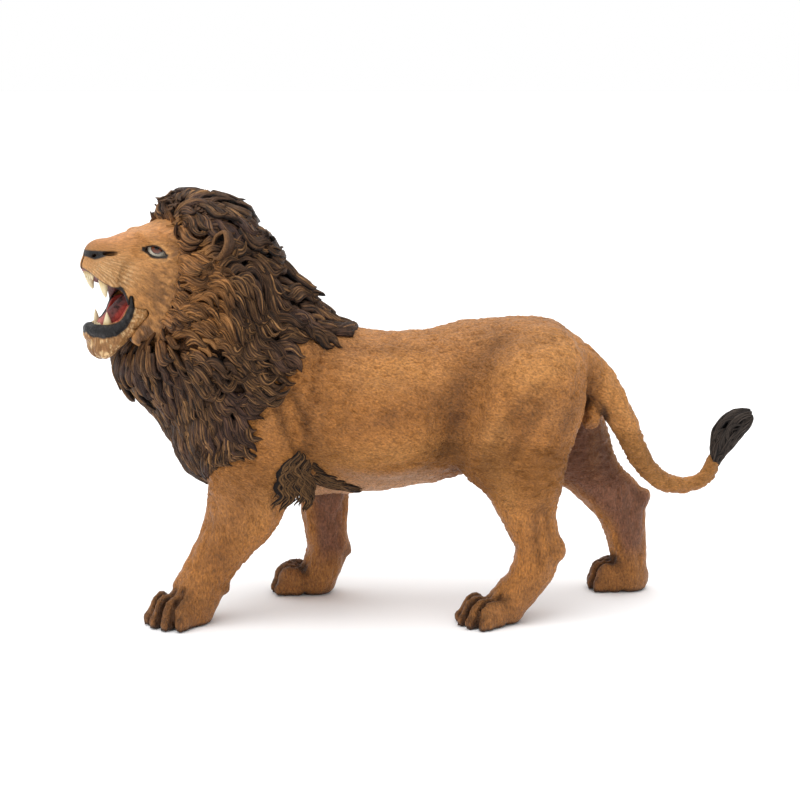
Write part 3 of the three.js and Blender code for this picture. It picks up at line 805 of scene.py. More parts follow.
@dataclass(frozen=True)
class PaintFinish:
    """Hand-painted plastic: the paint's own colours from the piece, stippled, over combed hair lines.

    Attributes:
        name: the material's name.
        roughness: how matt it is.
        stipple: strength of the dark and light stipple.
        stipple_size: size of its specks in millimetres.
        tooth: height of the moulded grain in millimetres.
        tooth_size: size of that grain in millimetres.
        hair: height of the combed lines in millimetres.
        hair_size: distance between them in millimetres.
        brush: how much the dry brush lightens their crests and darkens their grooves.
        gloss: strength of a clear coat over the paint.
        shine: how much it reflects at a right angle, 0.5 being plain plastic.
    """

    name: str
    roughness: float = 0.45
    stipple: float = 0.12
    stipple_size: float = 0.4
    tooth: float = 0.03
    tooth_size: float = 0.3
    hair: float = 0.0
    hair_size: float = 0.3
    brush: float = 0.0
    gloss: float = 0.0
    shine: float = 0.15

    def noise(self, tree: bpy.types.NodeTree, where: Socket, scale: float) -> Socket:
        """Adds a noise of the given scale on the given coordinates and returns its value."""
        made = tree.nodes.new("ShaderNodeTexNoise")
        made.inputs["Scale"].default_value = scale
        made.inputs["Detail"].default_value = 3
        made.inputs["Roughness"].default_value = 0.6
        tree.links.new(where, made.inputs["Vector"])
        return made.outputs["Fac"]

    def level(self, tree: bpy.types.NodeTree, value: Socket, low: float, high: float) -> Socket:
        """Stretches a noise's 0.3 to 0.7 over the range from low to high and returns the result."""
        made = tree.nodes.new("ShaderNodeMapRange")
        made.inputs["From Min"].default_value = 0.3
        made.inputs["From Max"].default_value = 0.7
        made.inputs["To Min"].default_value = low
        made.inputs["To Max"].default_value = high
        tree.links.new(value, made.inputs["Value"])
        return made.outputs["Result"]

    def material(self) -> bpy.types.Material:
        """Builds the node material.

        Returns:
            The material, which reads the attributes paint and comb, and Object coordinates.
        """
        made = bpy.data.materials.new(self.name)
        made.use_nodes = True
        tree = made.node_tree
        tree.nodes.clear()
        add = tree.nodes.new
        link = tree.links.new
        out = add("ShaderNodeOutputMaterial")
        shader = add("ShaderNodeBsdfPrincipled")
        link(shader.outputs["BSDF"], out.inputs["Surface"])
        shader.inputs["Roughness"].default_value = self.roughness
        shader.inputs["Specular IOR Level"].default_value = self.shine
        shader.inputs["Coat Weight"].default_value = self.gloss
        shader.inputs["Coat Roughness"].default_value = 0.2
        paint = add("ShaderNodeAttribute")
        paint.attribute_name = "paint"
        place = add("ShaderNodeTexCoord").outputs["Object"]
        speck = self.noise(tree, place, 1 / (self.stipple_size * MM))
        shade = self.level(tree, speck, 1 - self.stipple, 1 + self.stipple * 0.7)
        height = self.level(tree, self.noise(tree, place, 1 / (self.tooth_size * MM)), 0, self.tooth * MM)
        if self.hair:
            comb = add("ShaderNodeAttribute")
            comb.attribute_name = "comb"
            lines = self.noise(tree, comb.outputs["Vector"], 1 / self.hair_size)
            brushed = self.level(tree, lines, 1 - self.brush, 1 + self.brush)
            both = add("ShaderNodeMath")
            both.operation = "MULTIPLY"
            link(shade, both.inputs[0])
            link(brushed, both.inputs[1])
            shade = both.outputs[0]
            total = add("ShaderNodeMath")
            link(height, total.inputs[0])
            link(self.level(tree, lines, 0, self.hair * MM), total.inputs[1])
            height = total.outputs[0]
        tint = add("ShaderNodeVectorMath")
        tint.operation = "SCALE"
        link(paint.outputs["Color"], tint.inputs[0])
        link(shade, tint.inputs["Scale"])
        link(tint.outputs["Vector"], shader.inputs["Base Color"])
        bump = add("ShaderNodeBump")
        bump.inputs["Distance"].default_value = 1
        bump.inputs["Strength"].default_value = 1
        link(height, bump.inputs["Height"])
        link(bump.outputs["Normal"], shader.inputs["Normal"])
        return made


# Paint colours of the figurine, as a painter would name them; mauve, umber and the throat's dark red are also laid
# as painted shade, and gold as painted highlight.
OCHRE = rgb(172, 112, 53)
SAND = rgb(186, 131, 80)
UMBER = rgb(104, 62, 25)
MAUVE = rgb(118, 78, 62)
GOLD = rgb(188, 130, 70)
MANE_BROWN = rgb(72, 50, 34)
MANE_LIGHT = rgb(164, 120, 74)
MANE_DARK = rgb(20, 13, 11)
MANE_PLUM = rgb(70, 51, 48)
BLACK = rgb(24, 22, 22)
CHARCOAL = rgb(58, 54, 53)
IVORY = rgb(222, 204, 164)
GUM = rgb(160, 82, 72)
# Dark red deep in the mouth, darkened as painted shade; also the painted shade in the jaw's grooves.
THROAT_SHADE = rgb(70, 24, 22)


@dataclass(frozen=True)
class Paw:
    """A paw: a pad, and four toes that each have a knuckle, a tip and the two halves of a claw's sheath.

    Attributes:
        x, y: its middle on the floor.
        length, width, height: its sizes.
        turn: how far it points to -Y of -X.
    """

    x: float
    y: float
    length: float
    width: float
    height: float
    turn: float

    def egg(self, place: tuple, radii: tuple, turn: float, tilt: float, blend: float) -> Lump:
        """One egg, given in shares of the paw's length, width and height.

        Args:
            place: how far its middle is behind the paw's middle, aside and up.
            radii: its radii.
            turn, tilt, blend: the lump's own.

        Returns:
            The egg in the sculptor's coordinates.
        """
        sizes = np.array([self.length, self.width, self.height])
        along, across, up = sizes * place
        along, across = rotate(along, across, -self.turn)
        return Lump((self.x + along, self.y + across, up), tuple(sizes * radii), turn, tilt, blend)

    def eggs(self) -> list:
        """The pad, then the four eggs of each toe."""
        eggs = [self.egg((0.11, 0, 0.36), (0.35, 0.44, 0.56), self.turn, 0, 1.2)]
        for share, reach in ((-0.37, 0.24), (-0.13, 0.34), (0.13, 0.34), (0.37, 0.24)):
            fan = self.turn + share * 0.5
            eggs.append(self.egg((-reach, share, 0.42), (0.27, 0.12, 0.48), fan, -0.45, 0.3))
            eggs.append(self.egg((-reach - 0.15, share * 1.1, 0.26), (0.14, 0.115, 0.3), fan, 0, 0.3))
            for half in (-0.045, 0.045):
                place = (-reach - 0.27, share * 1.12 + half, 0.18)
                eggs.append(self.egg(place, (0.06, 0.045, 0.2), fan, 0, 0.35))
        return eggs


TOES = (1, 5, 9, 13)  # where each toe's knuckle is among a paw's eggs
PAWS = (
    Paw(-45.7, -12.9, 13, 10.8, 7.6, 0.92),
    Paw(-20.6, 11.2, 12.4, 10, 7.6, -0.1),
    Paw(20.4, -12.8, 13.4, 10.2, 6.8, 0.6),
    Paw(50.4, 14.2, 12.4, 10, 7.6, -0.05),
)


@dataclass
class Coat:
    """The short-haired body: trunk, legs with their paws, and tail, blended into one skin.

    Attributes:
        step: spacing of the net that skins it.
        hip_blend: width of the fillets between legs and trunk.
        finish: its paint.
    """

    step: float = 0.5
    hip_blend: float = 4.5
    finish: PaintFinish = PaintFinish(
        "coat_paint", roughness=0.42, stipple=0.22, stipple_size=0.5, tooth=0.1, tooth_size=0.4,
        hair=0.32, hair_size=0.36, brush=0.42, shine=0.32,
    )

    def body_lumps(self) -> list:
        """Muscles, bones and folds of trunk and legs."""
        return [
            Lump((-25, -9.5, 50), (7, 5.6, 12), 0, 0.25, 4),  # left shoulder blade
            Lump((-23, 9.5, 50), (7, 5.6, 12), 0, 0.25, 4),
            Lump((-25.5, -12, 36), (5.5, 4.6, 9), 0, -0.35, 3),  # left triceps
            Lump((-33.5, -12.6, 28), (6, 4.8, 9), 0, 0.25, 3),  # left forearm
            Lump((-17, 11.4, 36), (5.5, 4.2, 9), 0, 0.1, 3),
            Lump((24, -9.6, 45), (10.5, 6.4, 10), 0, 0.2, 5),  # left thigh
            Lump((26, 9.6, 45), (11, 6.2, 10), 0, 0.2, 5),
            Lump((18, -10.4, 34.5), (4.6, 4.2, 5), 0, 0.4, 3),  # left knee
            Lump((29.6, -11.8, 30), (3.8, 3.6, 8), 0, 0.25, 2.5),  # left calf
            *both_sides([Lump((31, -7, 55.5), (6, 4.4, 4.6), 0, 0.2, 4)]),  # hips
            *both_sides([Lump((24.4, -18.7, 43.2), (1.5, 2.1, 10.5), 0, 0.6, 3.5, True)]),  # thighs' furrows
            Lump((34.5, -17.7, 42), (1.0, 1.6, 6), 0, 0.5, 2, True),  # crease behind it
            Lump((30.4, -16.7, 19.5), (1.2, 1.3, 5), 0, -0.1, 2.5, True),  # hollow ahead of the left heel cord
            Lump((52.2, 9.0, 20), (1.2, 1.3, 5), 0, -0.1, 2.5, True),
            *both_sides([Lump((-3, -12.2, 41), (12, 4.0, 9), 0, 0.1, 4)]),  # ribs
            *both_sides([Lump((0, -16.4, 57.5), (11, 2.2, 1.6), 0, 0.04, 3, True)]),  # furrows beside the spine
            Lump((-13.5, -17.6, 47), (1.3, 1.8, 8), 0, 0.2, 3, True),  # behind the left shoulder
            *both_sides([Lump((28, -11.6, 51.5), (8.5, 4.6, 6.5), 0, 0.5, 4)]),  # haunches
            Lump((33.4, -12, 15.4), (1.5, 2.6, 2), 0, 0, 1.2),  # left hock
            Lump((54.6, 13.8, 21.2), (1.5, 2.6, 2), 0, 0, 1.2),
            *both_sides([Lump((12.2, -16.4, 45), (3.6, 3.2, 9), 0, 0.25, 4, True)]),  # flanks
            *both_sides([Lump((9.5, -9, 34.8), (7.5, 2.6, 2.2), -0.05, -0.28, 2.5)]),  # folds to the knees
            Lump((-36.9, -12.4, 7.6), (0.9, 1.5, 1.4), 0, 0, 1),  # carpal pads
            Lump((-11.8, 11, 9.6), (0.9, 1.5, 1.4), 0, 0, 1),
            Lump((41, -1.2, 42.8), (2, 3.4, 3.4), 0, 0, 1.2),  # under the tail
            Lump((-22, -16.2, 44), (1.4, 1.6, 6), 0, -0.3, 3, True),  # behind the left upper arm
        ]

    def toe_gaps(self, points: Array) -> Array:
        """How much each point lies in a groove between two toes, 0 to 1.

        The groove is where the nearest and the second nearest toe are as far: exp(-(second - first)^2 / 0.3).

        Args:
            points: places near the floor.

        Returns:
            One value for each.
        """
        best = np.zeros(len(points))
        for paw in PAWS:
            eggs = paw.eggs()
            toes = np.stack([np.minimum(eggs[k].distance(points), eggs[k + 1].distance(points)) for k in TOES])
            toes.sort(axis=0)
            gap = np.exp(-((toes[1] - toes[0]) ** 2) / 0.3) * (1 - ramp(toes[0], 0.9, 2.0))
            best = np.maximum(best, gap)
        return best

    def distance(self, points: Array) -> Array:
        """Field of the whole body: lofts joined softly, muscles and toes blended in, cut flat at the soles."""
        value = Loft(TORSO).distance(points)
        for table in (NEAR_FORELEG, FAR_FORELEG, NEAR_HINDLEG, FAR_HINDLEG):
            rows = np.array(table, dtype=float)
            low = np.array([rows[:, [0, 2]].min(), (rows[:, 4] - rows[:, 5]).min(), -2]) - 9
            high = np.array([rows[:, [0, 2]].max(), (rows[:, 4] + rows[:, 5]).max(), 62]) + 9
            near = ((points > low) & (points < high)).all(axis=1)
            value[near] = soft_join(value[near], Loft(table).distance(points[near]), self.hip_blend)
        near = points[:, 0] > 26
        value[near] = soft_join(value[near], Loft(TAIL).distance(points[near]), 3.0)
        value = with_lumps(value, points, self.body_lumps())
        for paw in PAWS:
            value = with_lumps(value, points, paw.eggs())
        return np.maximum(value, -points[:, 2])

    def paint(self, p: Array, n: Array, cavity: Array) -> Array:
        """Airbrush work and painted light: ochre ground, sand back with a painted highlight where it faces up, umber
        in the folds that is also painted shade, mauve painted shade inside the far legs, gold paws with a painted
        highlight on top, a painted shadow along the soles.

        Args:
            p: points.
            n: normals.
            cavity: 0 on open skin to 1 deep in a groove.

        Returns:
            Linear colours.
        """
        x, y, z = p.T
        # Back: lighter sand with a painted highlight where the surface faces up.
        back = ramp(z, 50, 61) * ramp(n[:, 2], 0.1, 0.8)
        colour = coats(OCHRE, (SAND, 0.6 * back), (SAND, 0.3 * ramp(grain(p, 9, 3), 0.0, 0.8)))
        outside = ramp(np.where(y < 0, -1, 1) * n[:, 1], -0.1, 0.5)
        mottle = outside * (1 + 0.35 * grain(p, 2.2, 4))
        # Dark clouds: airbrushed umber and painted shade in the hollows; golden clouds: painted highlights.
        for place_x, place_z, long, wide, tilt, amount in SHADE_AND_SHEEN_SPRAYS:
            along, across = rotate(x - place_x, z - place_z, tilt)
            cloud = np.exp(-((along / long) ** 2) - (across / wide) ** 2) * mottle
            colour = mix(colour, UMBER if amount > 0 else GOLD * 1.1, np.clip(abs(amount) * cloud, 0, 0.9))
        belly = ramp(-n[:, 2], 0.45, 0.95) * ramp(z, 20, 30)
        groin = ramp(x, 4, 12)
        # Mauve on the inner sides of the far legs: airbrushed colour that also paints the shade between the legs.
        far_inner_shade = (y > 3) * ramp(-n[:, 1], 0.2, 0.9) * ramp(z, 5, 12) * ramp(n[:, 0], -0.65, -0.1)
        on_tail = ramp(x, 40, 46) * ramp(z, 24, 27) * ramp(np.abs(y - 14), 6, 9)
        paws = 1 - ramp(z, 4, 12)
        return coats(
            colour,
            (rgb(208, 164, 130), 0.7 * belly * (1 - groin)),
            # Mauve under the belly between the hind legs: painted shade on the down-facing skin.
            (MAUVE, 0.4 * belly * groin),
            (MAUVE, 0.85 * far_inner_shade),
            (GOLD * 1.12, 0.8 * on_tail),
            (rgb(146, 96, 50), 0.5 * paws),
            # Lighter where the paws face up: dry brush with a painted highlight from above.
            (rgb(178, 128, 76), 0.4 * ramp(n[:, 2], 0.3, 0.9) * paws),
            # Dark wash in the grooves, laid by their depth as painted shade.
            (UMBER * 0.4, np.clip(cavity * 1.6, 0, 0.93)),
            # Painted contact shadow along the soles.
            (UMBER * 0.2, 0.85 * (1 - ramp(z, 0.2, 1.0))),
        )

    def build(self) -> None:
        """Skins the body, gives it its moulded fur and paints it."""
        step = net_step(self.step)
        points, faces = Skin(self.distance, (-60.4, -24, -1.5 * step), (76, 24, 72), step).mesh()
        floor = points[:, 2] < step * 0.6
        points = np.where(floor[:, None], points, relaxed(points, faces, 3, 0.5))
        normal = normals_of(points, faces)
        # The groove depth darkens the paint as a dark wash and painted shade.
        cavity = cavity_of(self.distance, points, normal, 1.6)
        low = points[:, 2] < 12
        close = np.minimum(1.3 * cavity_of(self.distance, points[low], normal[low], 0.8), 1)
        cavity[low] = np.maximum(cavity[low], close)
        leg = 1 - ramp(points[:, 2], 24, 40)
        along = points[:, 0] * 0.94 - points[:, 2] * 0.34
        across = points[:, 0] * 0.34 + points[:, 2] * 0.94
        comb = np.stack(
            [along * 0.55 * (1 - leg) + points[:, 0] * leg, points[:, 1],
             across * (1 - leg) + points[:, 2] * 0.4 * leg], axis=1
        )
        fine = 0.26 * (1 - 2.4 * np.abs(grain(comb, 1.05, 5))) + 0.22 * grain(comb, 1.7, 6)
        ruff = spot(points * [1, 0, 1], (-19, 0, 51), (8, 1, 12))
        fluff = points @ np.array([[0.5, 0, 0.4], [0, 1, 0], [-0.8, 0, 0.5]])
        fine += ruff * (0.3 - 1.1 * np.abs(grain(fluff, 1.2, 8)))
        fur = fine + 0.25 * grain(points * [0.8, 1, 0.45], 2.8, 7) * ramp(points[:, 2], 6, 20)
        groove = np.zeros(len(points))
        groove[low] = self.toe_gaps(points[low])
        # The grooves between the toes are darkened as painted shade too.
        cavity = np.maximum(cavity, 0.75 * groove)
        fur = fur * (0.4 + 0.6 * ramp(points[:, 2], 3, 10)) - 0.55 * groove
        points = points + normal * (fur * ~floor)[:, None]
        points[:, 2] = np.maximum(points[:, 2], 0)
        colour = self.paint(points, normal, cavity)
        colour = mix(colour, UMBER, 0.32 * ramp(-fine, 0.02, 0.45) * ramp(points[:, 2], 3, 10))
        colour = colour * (1 + 0.1 * ramp(fine, 0.05, 0.4))[:, None]
        add_piece("coat", points, faces, self.finish.material(), Node.BODY, colour, comb)


def eye_axes() -> tuple[Array, Array, Array]:
    """The left eye's own axes in the head's frame: back along the lids, up, and out of the face."""
    back = unit(np.array([4.7, -3.2, -1.4]))
    out = unit(np.cross(back, [0, 0, 1]))
    return back, np.cross(out, back), out


def left_half(h: Array) -> Array:
    """Points of the head's frame folded over to the lion's left: (x, -|y|, z)."""
    return np.stack([h[:, 0], -np.abs(h[:, 1]), h[:, 2]], axis=1)


def eye_opening(own: Array) -> Array:
    """How far points are outside the almond between the lids, measured in the plane of the lids.

    Along the lids the almond's upper edge is at 1.2 (1 - a^2) and its lower edge at -0.78 (1 - a^2), with a the
    place along them over 2.6.

    Args:
        own: points of the head's frame on the lion's left.

    Returns:
        One distance for each, negative inside.
    """
    back, up, _ = eye_axes()
    a, b = (own - EYE_PLACE) @ back, (own - EYE_PLACE) @ up
    room = np.maximum(1 - (a / 2.6) ** 2, 0)
    return np.maximum.reduce([b - 1.2 * room, -0.78 * room - b, np.abs(a) - 2.6])


@dataclass
class Head:
    """The head above the mouth: skull, muzzle, brows, lids, nose and the upper half of the open mouth.

    Attributes:
        step: spacing of the net that skins it.
        finish: its paint.
    """

    step: float = 0.25
    finish: PaintFinish = PaintFinish("face_paint", stipple=0.14, tooth=0.04, hair=0.18, brush=0.3, shine=0.35)

    def cheeks(self) -> list:
        """Cheek bones, lower cheeks and the fur behind them, in the head's own frame."""
        return both_sides(
            [
                Lump((-0.5, -6.6, 74.0), (6, 3.0, 4.6), -0.3, 0.3, 3),
                Lump((-4.4, -4.5, 64.6), (7.0, 3.7, 7.2), -0.1, 0.2, 3),
                Lump((2.5, -7.4, 64), (6, 4.4, 8), 0, 0.3, 4),
            ]
        )

    def lumps(self) -> list:
        """Pads, brows and the hollows of nostrils and folds, in the head's own frame."""
        return both_sides(
            [
                Lump((-9.8, -0.9, 79.0), (7.2, 2.2, 1.9), 0, -0.17, 1.6),  # bridge
                Lump((-14.4, -0.7, 78.9), (2.4, 1.9, 1.65), 0, -0.15, 1.2),  # tip of the nose
                Lump((-13.2, -3.3, 74.1), (4.7, 2.7, 3.4), -0.3, 0.5, 1.2),  # whisker pad
                Lump((-15.3, -1.9, 74.5), (2.0, 1.8, 2.5), -0.5, 0.3, 0.9),  # its front
                Lump((-4.4, -4.5, 81.0), (3.3, 1.9, 1.5), -0.6, 0.3, 1.4),  # brow
                Lump((-6.9, -5.6, 78.6), (1.8, 1.2, 1.5), -0.5, 0.3, 1.2, True),  # inner corner of the eye
                Lump((-10.2, -6.6, 75.2), (0.8, 1.0, 3.6), -0.3, 0.5, 1.4, True),  # fold behind the pad
                Lump((-15.6, -1.0, 77.9), (1.5, 1.6, 1.2), -0.25, 0.35, 0.5),  # nose leather
                Lump((-15.6, -2.2, 77.5), (1.3, 0.8, 0.6), -0.7, 0, 0.35, True),  # nostril
                Lump((-13.6, -3.5, 77.9), (2.4, 0.8, 0.45), -0.5, -0.12, 0.4, True),  # its slit
                Lump((-17.6, 0.0, 75.2), (1.4, 0.25, 2.4), 0, 0, 0.4, True),  # parting under the nose
            ]
        )

    def distance(self, points: Array) -> Array:
        """Field of the head with its lids and its open mouth, less the seats of the jaw insert and of its lip."""
        h = to_head(points)
        value = with_lumps(Loft(SKULL).distance(h), h, self.cheeks() + self.lumps())
        own = left_half(h)
        near = np.linalg.norm(own - EYE_PLACE, axis=1) < 5
        eye = own[near]
        out = eye_axes()[2]
        ball = np.linalg.norm(eye - (EYE_PLACE - out * EYE_BACK), axis=1) - EYE_RADIUS
        lids = soft_join(value[near], ball - 0.55, 0.8)
        well = np.maximum(eye_opening(eye), -1.6 - (eye - EYE_PLACE) @ out)
        value[near] = soft_cut(lids, well, 0.2)
        value = soft_cut(value, Loft(MOUTH_HOLLOW).distance(h), 0.7)
        value = soft_cut(value, Loft(JAW).distance(h) - 0.2, 0.2)
        near = (h[:, 0] < -8) & (h[:, 2] < 71)
        value[near] = soft_cut(value[near], LowerJaw().lip(h[near])[0] - 0.1, 0.2)
        return np.maximum(value, -66.75 - points[:, 0])

    def paint(self, p: Array, cavity: Array) -> Array:
        """Gold face, cream muzzle with pale strokes, black nose, eye lines and lips, red inside the mouth.

        Args:
            p: points.
            cavity: 0 on open skin to 1 deep in a groove.

        Returns:
            Linear colours.
        """
        h = to_head(p)
        own = left_half(h)
        x, y, z = h.T
        turn, away = polar(h, *HAIR_FAN)
        stroke = grain(np.stack([turn * 13.0, away * 0.3, y * 0.5], axis=1), 0.42, 11)
        shade = spot(own, (-3.5, -8, 69), (6, 5, 7)) + 0.8 * spot(own, (2, -9, 74), (3.5, 5, 9))
        cheek = ramp(x, -9, -3)
        low_cheek = ramp(65.5 - z, 0, 3.5) * ramp(x, -10, -8)
        pad = np.clip(1.8 * spot(own, (-13.4, -4.6, 73.8), (4.4, 4.0, 3.2)), 0, 1)
        colour = coats(
            GOLD,
            (rgb(132, 90, 46), np.clip(shade, 0, 1) * (0.55 + 0.45 * ramp(stroke, -0.3, 0.4))),
            (rgb(112, 74, 40), 0.5 * ramp(stroke, 0.15, 0.5) * cheek),
            (rgb(204, 150, 92), 0.25 * ramp(-stroke, 0.15, 0.5) * cheek),
            (UMBER, 0.5 * ramp(x, 2.5, 7) * ramp(stroke, -0.5, 0.6)),
            (rgb(92, 62, 38), 0.9 * low_cheek * ramp(stroke, -0.8, 0.2)),
            (rgb(190, 128, 84), 0.7 * spot(own, (-11.5, 0, 81), (6.5, 4.0, 2.6))),
            (rgb(196, 134, 80), 0.7 * spot(own, (-3, -5, 82.5), (4.5, 4, 2.4))),
            (rgb(198, 150, 98), 0.85 * pad),
        )
        turn, away = polar(h, *WHISKER_FAN)
        fan = np.sin(turn * 80.0 + 2.0 * grain(h, 2.0, 14))
        dash = grain(np.stack([turn * 12.0, away * 0.7, y], axis=1), 0.6, 15)
        lids = eye_opening(own)
        nearby = np.linalg.norm(own - EYE_PLACE, axis=1) < 4.4
        back, up, _ = eye_axes()
        across, above = (own - EYE_PLACE) @ back, (own - EYE_PLACE) @ up
        corner = 0.2 * ramp(np.abs(across), 1.4, 2.8) + 0.15 * ramp(above, 0, 1)
        top_edge = np.interp(x, [-17, -14.5, -11.7], [78.8, 78.7, 78.35])
        low_edge = np.interp(x, [-17.6, -16.6, -15.6, -14.2, -13, -11.7], [77.4, 76.9, 77.2, 77.7, 78.0, 78.2])
        low_edge = low_edge + 1.0 * ramp(y, 0.2, 1.2)
        leather = ramp(top_edge - z, -0.12, 0.18) * ramp(z - low_edge, -0.12, 0.18)
        parting = Lump((-17.4, 0.0, 75.4), (1.6, 0.35, 2.6)).distance(own)
        mouth = Loft(MOUTH_HOLLOW).distance(h)
        lip = mouth - 0.3 - 0.75 * ramp(x, -13.5, -11.5)
        # Gums to throat, darker towards the back of the mouth as painted shade inside it.
        flesh = coats(GUM, (rgb(96, 52, 48), ramp(x, -15.5, -12.5)), (THROAT_SHADE, ramp(x, -11, -7.5)))
        return coats(
            colour,
            (rgb(220, 182, 132), 0.8 * pad**1.5 * ramp(fan, 0.1, 0.8) * ramp(dash, -0.35, 0.05)),
            (rgb(120, 80, 44), 0.45 * pad * ramp(-fan, 0.2, 0.9)),
            (rgb(196, 142, 82), nearby * 0.6 * (1 - ramp(lids, 0.5, 1.6))),
            (BLACK, nearby * (1 - ramp(lids, 0.1 + corner, 0.4 + corner))),
            (BLACK, leather * (1 - ramp(x, -12.0, -11.4))),
            (BLACK, 1 - ramp(parting, -0.1, 0.2)),
            (BLACK, 1 - ramp(lip, 0.0, 0.3)),
            (flesh, 1 - ramp(mouth, 0.05, 0.3)),
            # Dark wash in the grooves, laid by their depth as painted shade.
            (UMBER * 0.35, np.clip(cavity - 0.15, 0, 0.8)),
        )

    def build(self) -> None:
        """Skins the head, combs its fur and paints it."""
        step = net_step(self.step)
        points, faces = Skin(self.distance, (-74.6, -15.6, 53.0), (-38, 17.4, 88.2), step).mesh()
        points = relaxed(points, faces, 2, 0.4)
        normal = normals_of(points, faces)
        cavity = cavity_of(self.distance, points, normal, 0.9)
        h = to_head(points)
        bare = ramp(Loft(MOUTH_HOLLOW).distance(h), 0.4, 1.2) * ramp(h[:, 0], -15, -9)
        bare = bare * ramp(eye_opening(left_half(h)), 0.4, 1.4)
        fur = 0.10 * grain(h * [0.4, 1, 0.8], 0.9, 21) + 0.16 * grain(h * [0.5, 1, 0.6], 2.2, 22)
        points = points + normal * (fur * bare)[:, None]
        colour = self.paint(points, cavity)
        turn, away = polar(h, *HAIR_FAN)
        comb = np.stack([turn * 12.0, away * 0.25, h[:, 1] * 0.5], axis=1)
        add_piece("face", points, faces, self.finish.material(), Node.BODY, colour, comb)


@dataclass
class LowerJaw:
    """The jaw insert: chin, black lip, gum basin and tongue.

    Attributes:
        step: spacing of the net that skins it.
        finish: its paint.
    """

    step: float = 0.22
    finish: PaintFinish = PaintFinish(
        "chin_paint", stipple=0.14, tooth=0.04, hair=0.14, hair_size=0.28, brush=0.3, shine=0.35
    )

    def outer(self, h: Array) -> Array:
        """Field of the insert without its basin: the jaw, trimmed along the mouth's edge, with a full chin."""
        lumps = both_sides([Lump((-14.6, -1.6, 58.4), (2.2, 2.6, 2.4), 0, 0.5, 1.5)])
        edge = np.interp(h[:, 0], [-17, -14, -12, -10.6, -9.8], [63.0, 63.2, 64.4, 67, 72])
        return np.maximum(with_lumps(Loft(JAW).distance(h), h, lumps), (h[:, 2] - edge) * 0.7)

    def lip(self, h: Array) -> tuple[Array, Array]:
        """Distance from the rolled lip, and place along it, from one corner of the mouth round to the other."""
        half = np.array(
            [[-9.7, -6.2, 69.0], [-9.9, -6.6, 67.0], [-10.6, -6.5, 65.0], [-11.7, -6.0, 63.4], [-13.3, -5.1, 62.2],
             [-15.0, -3.9, 61.8], [-16.4, -2.2, 62.0], [-16.9, 0, 62.2]]
        )
        radius = [0.35, 0.5, 0.65, 0.85, 1.1, 1.25, 1.25, 1.2]
        line = np.vstack([half, half[-2::-1] * [1, -1, 1]])
        return rope(h, line, radius + radius[-2::-1])

    def distance(self, points: Array) -> Array:
        """Field of the insert: the jaw less its basin, with the lip rolled round it and the tongue laid in it."""
        h = to_head(points)
        value = soft_cut(self.outer(h), Loft(JAW_BASIN).distance(h), 0.6)
        value = soft_join(value, self.lip(h)[0], 0.35)
        groove = Lump((-9.5, 0, 69.6), (6, 0.4, 1.1), 0, 0.42, 0.7, True)
        tongue = with_lumps(Loft(TONGUE).distance(h), h, [groove])
        return soft_join(value, tongue, 0.4)

    def paint(self, p: Array, cavity: Array) -> Array:
        """Cream chin with brown and pale strokes, a black lip along the rim, red inside.

        Args:
            p: points.
            cavity: 0 on open skin to 1 deep in a groove.

        Returns:
            Linear colours.
        """
        h = to_head(p)
        x = h[:, 0]
        lip, place = self.lip(h)
        side = ramp(x, -12.5, -10.5)
        stroke = grain(np.stack([place * 2.6, lip * 0.6, 0 * lip], axis=1), 0.48, 31)
        stroke = 0.6 * stroke + 0.75 * grain(h * [1.6, 1.6, 0.4], 0.5, 37)
        stroke = stroke * (1 - side) + side * grain(h * [2.2, 0.5, 1.2], 0.5, 36)
        inner = (1 - ramp(Loft(JAW_BASIN).distance(h), 0.6, 1.0)) * ramp(lip, 0.25, 0.5)
        # Red inside the jaw, darkening towards the throat as painted shade; the tongue's top is its red darkened to
        # mauve as painted shade in the mouth, mottled.
        red = coats(rgb(196, 116, 104), (rgb(176, 62, 50), ramp(x, -14.6, -12.8)), (THROAT_SHADE, ramp(x, -8.5, -5.5)))
        top = mix(rgb(120, 68, 64), rgb(60, 30, 30), ramp(grain(h, 0.6, 33), 0.05, 0.45))
        on_tongue = 1 - ramp(Loft(TONGUE).distance(h), 0.05, 0.3)
        on_tongue = on_tongue * (1 - ramp(np.abs(h[:, 1]), 2.0, 2.7)) * ramp(x, -14.2, -12.4)
        return coats(
            rgb(160, 116, 70),
            (GOLD, 0.6 * ramp(x, -11, -7)),
            (rgb(124, 82, 42), (0.8 - 0.45 * side) * ramp(stroke, 0.05, 0.35)),
            (rgb(228, 192, 140), (0.9 - 0.3 * side) * ramp(-stroke, 0.2, 0.45)),
            (BLACK, 1 - ramp(lip, 0.2, 0.42)),
            (CHARCOAL, 0.7 * (1 - ramp(lip, 0.1, 0.3)) * ramp(grain(h, 0.6, 35), 0.1, 0.6)),
            (mix(red, top, on_tongue), inner),
            # Dark red in the jaw's grooves, laid by their depth as painted shade.
            (THROAT_SHADE, np.clip(cavity * 0.8 - 0.1, 0, 0.7)),
        )

    def build(self) -> None:
        """Skins the jaw and paints it."""
        step = net_step(self.step)
        points, faces = Skin(self.distance, (-72.6, -13.0, 55.0), (-53, 6, 72), step).mesh()
        points = relaxed(points, faces, 2, 0.4)
        normal = normals_of(points, faces)
        cavity = cavity_of(self.distance, points, normal, 0.8)
        h = to_head(points)
        skinned = ramp(Loft(JAW_BASIN).distance(h), 0.5, 1.0)
        lip, place = self.lip(h)
        ridge = grain(np.stack([place * 2.0, lip * 0.5, 0 * lip], axis=1), 1.2, 32)
        free = ramp(lip, 0.1, 0.6)
        relief = skinned * free * 0.2 * ridge + 0.09 * grain(h, 0.55, 34) * (1 - free)
        points = points + normal * relief[:, None]
        colour = self.paint(points, cavity)
        comb = np.stack([place * 1.6, lip * 0.35, 0 * lip], axis=1)
        add_piece("chin", points, faces, self.finish.material(), Node.JAW, colour, comb)


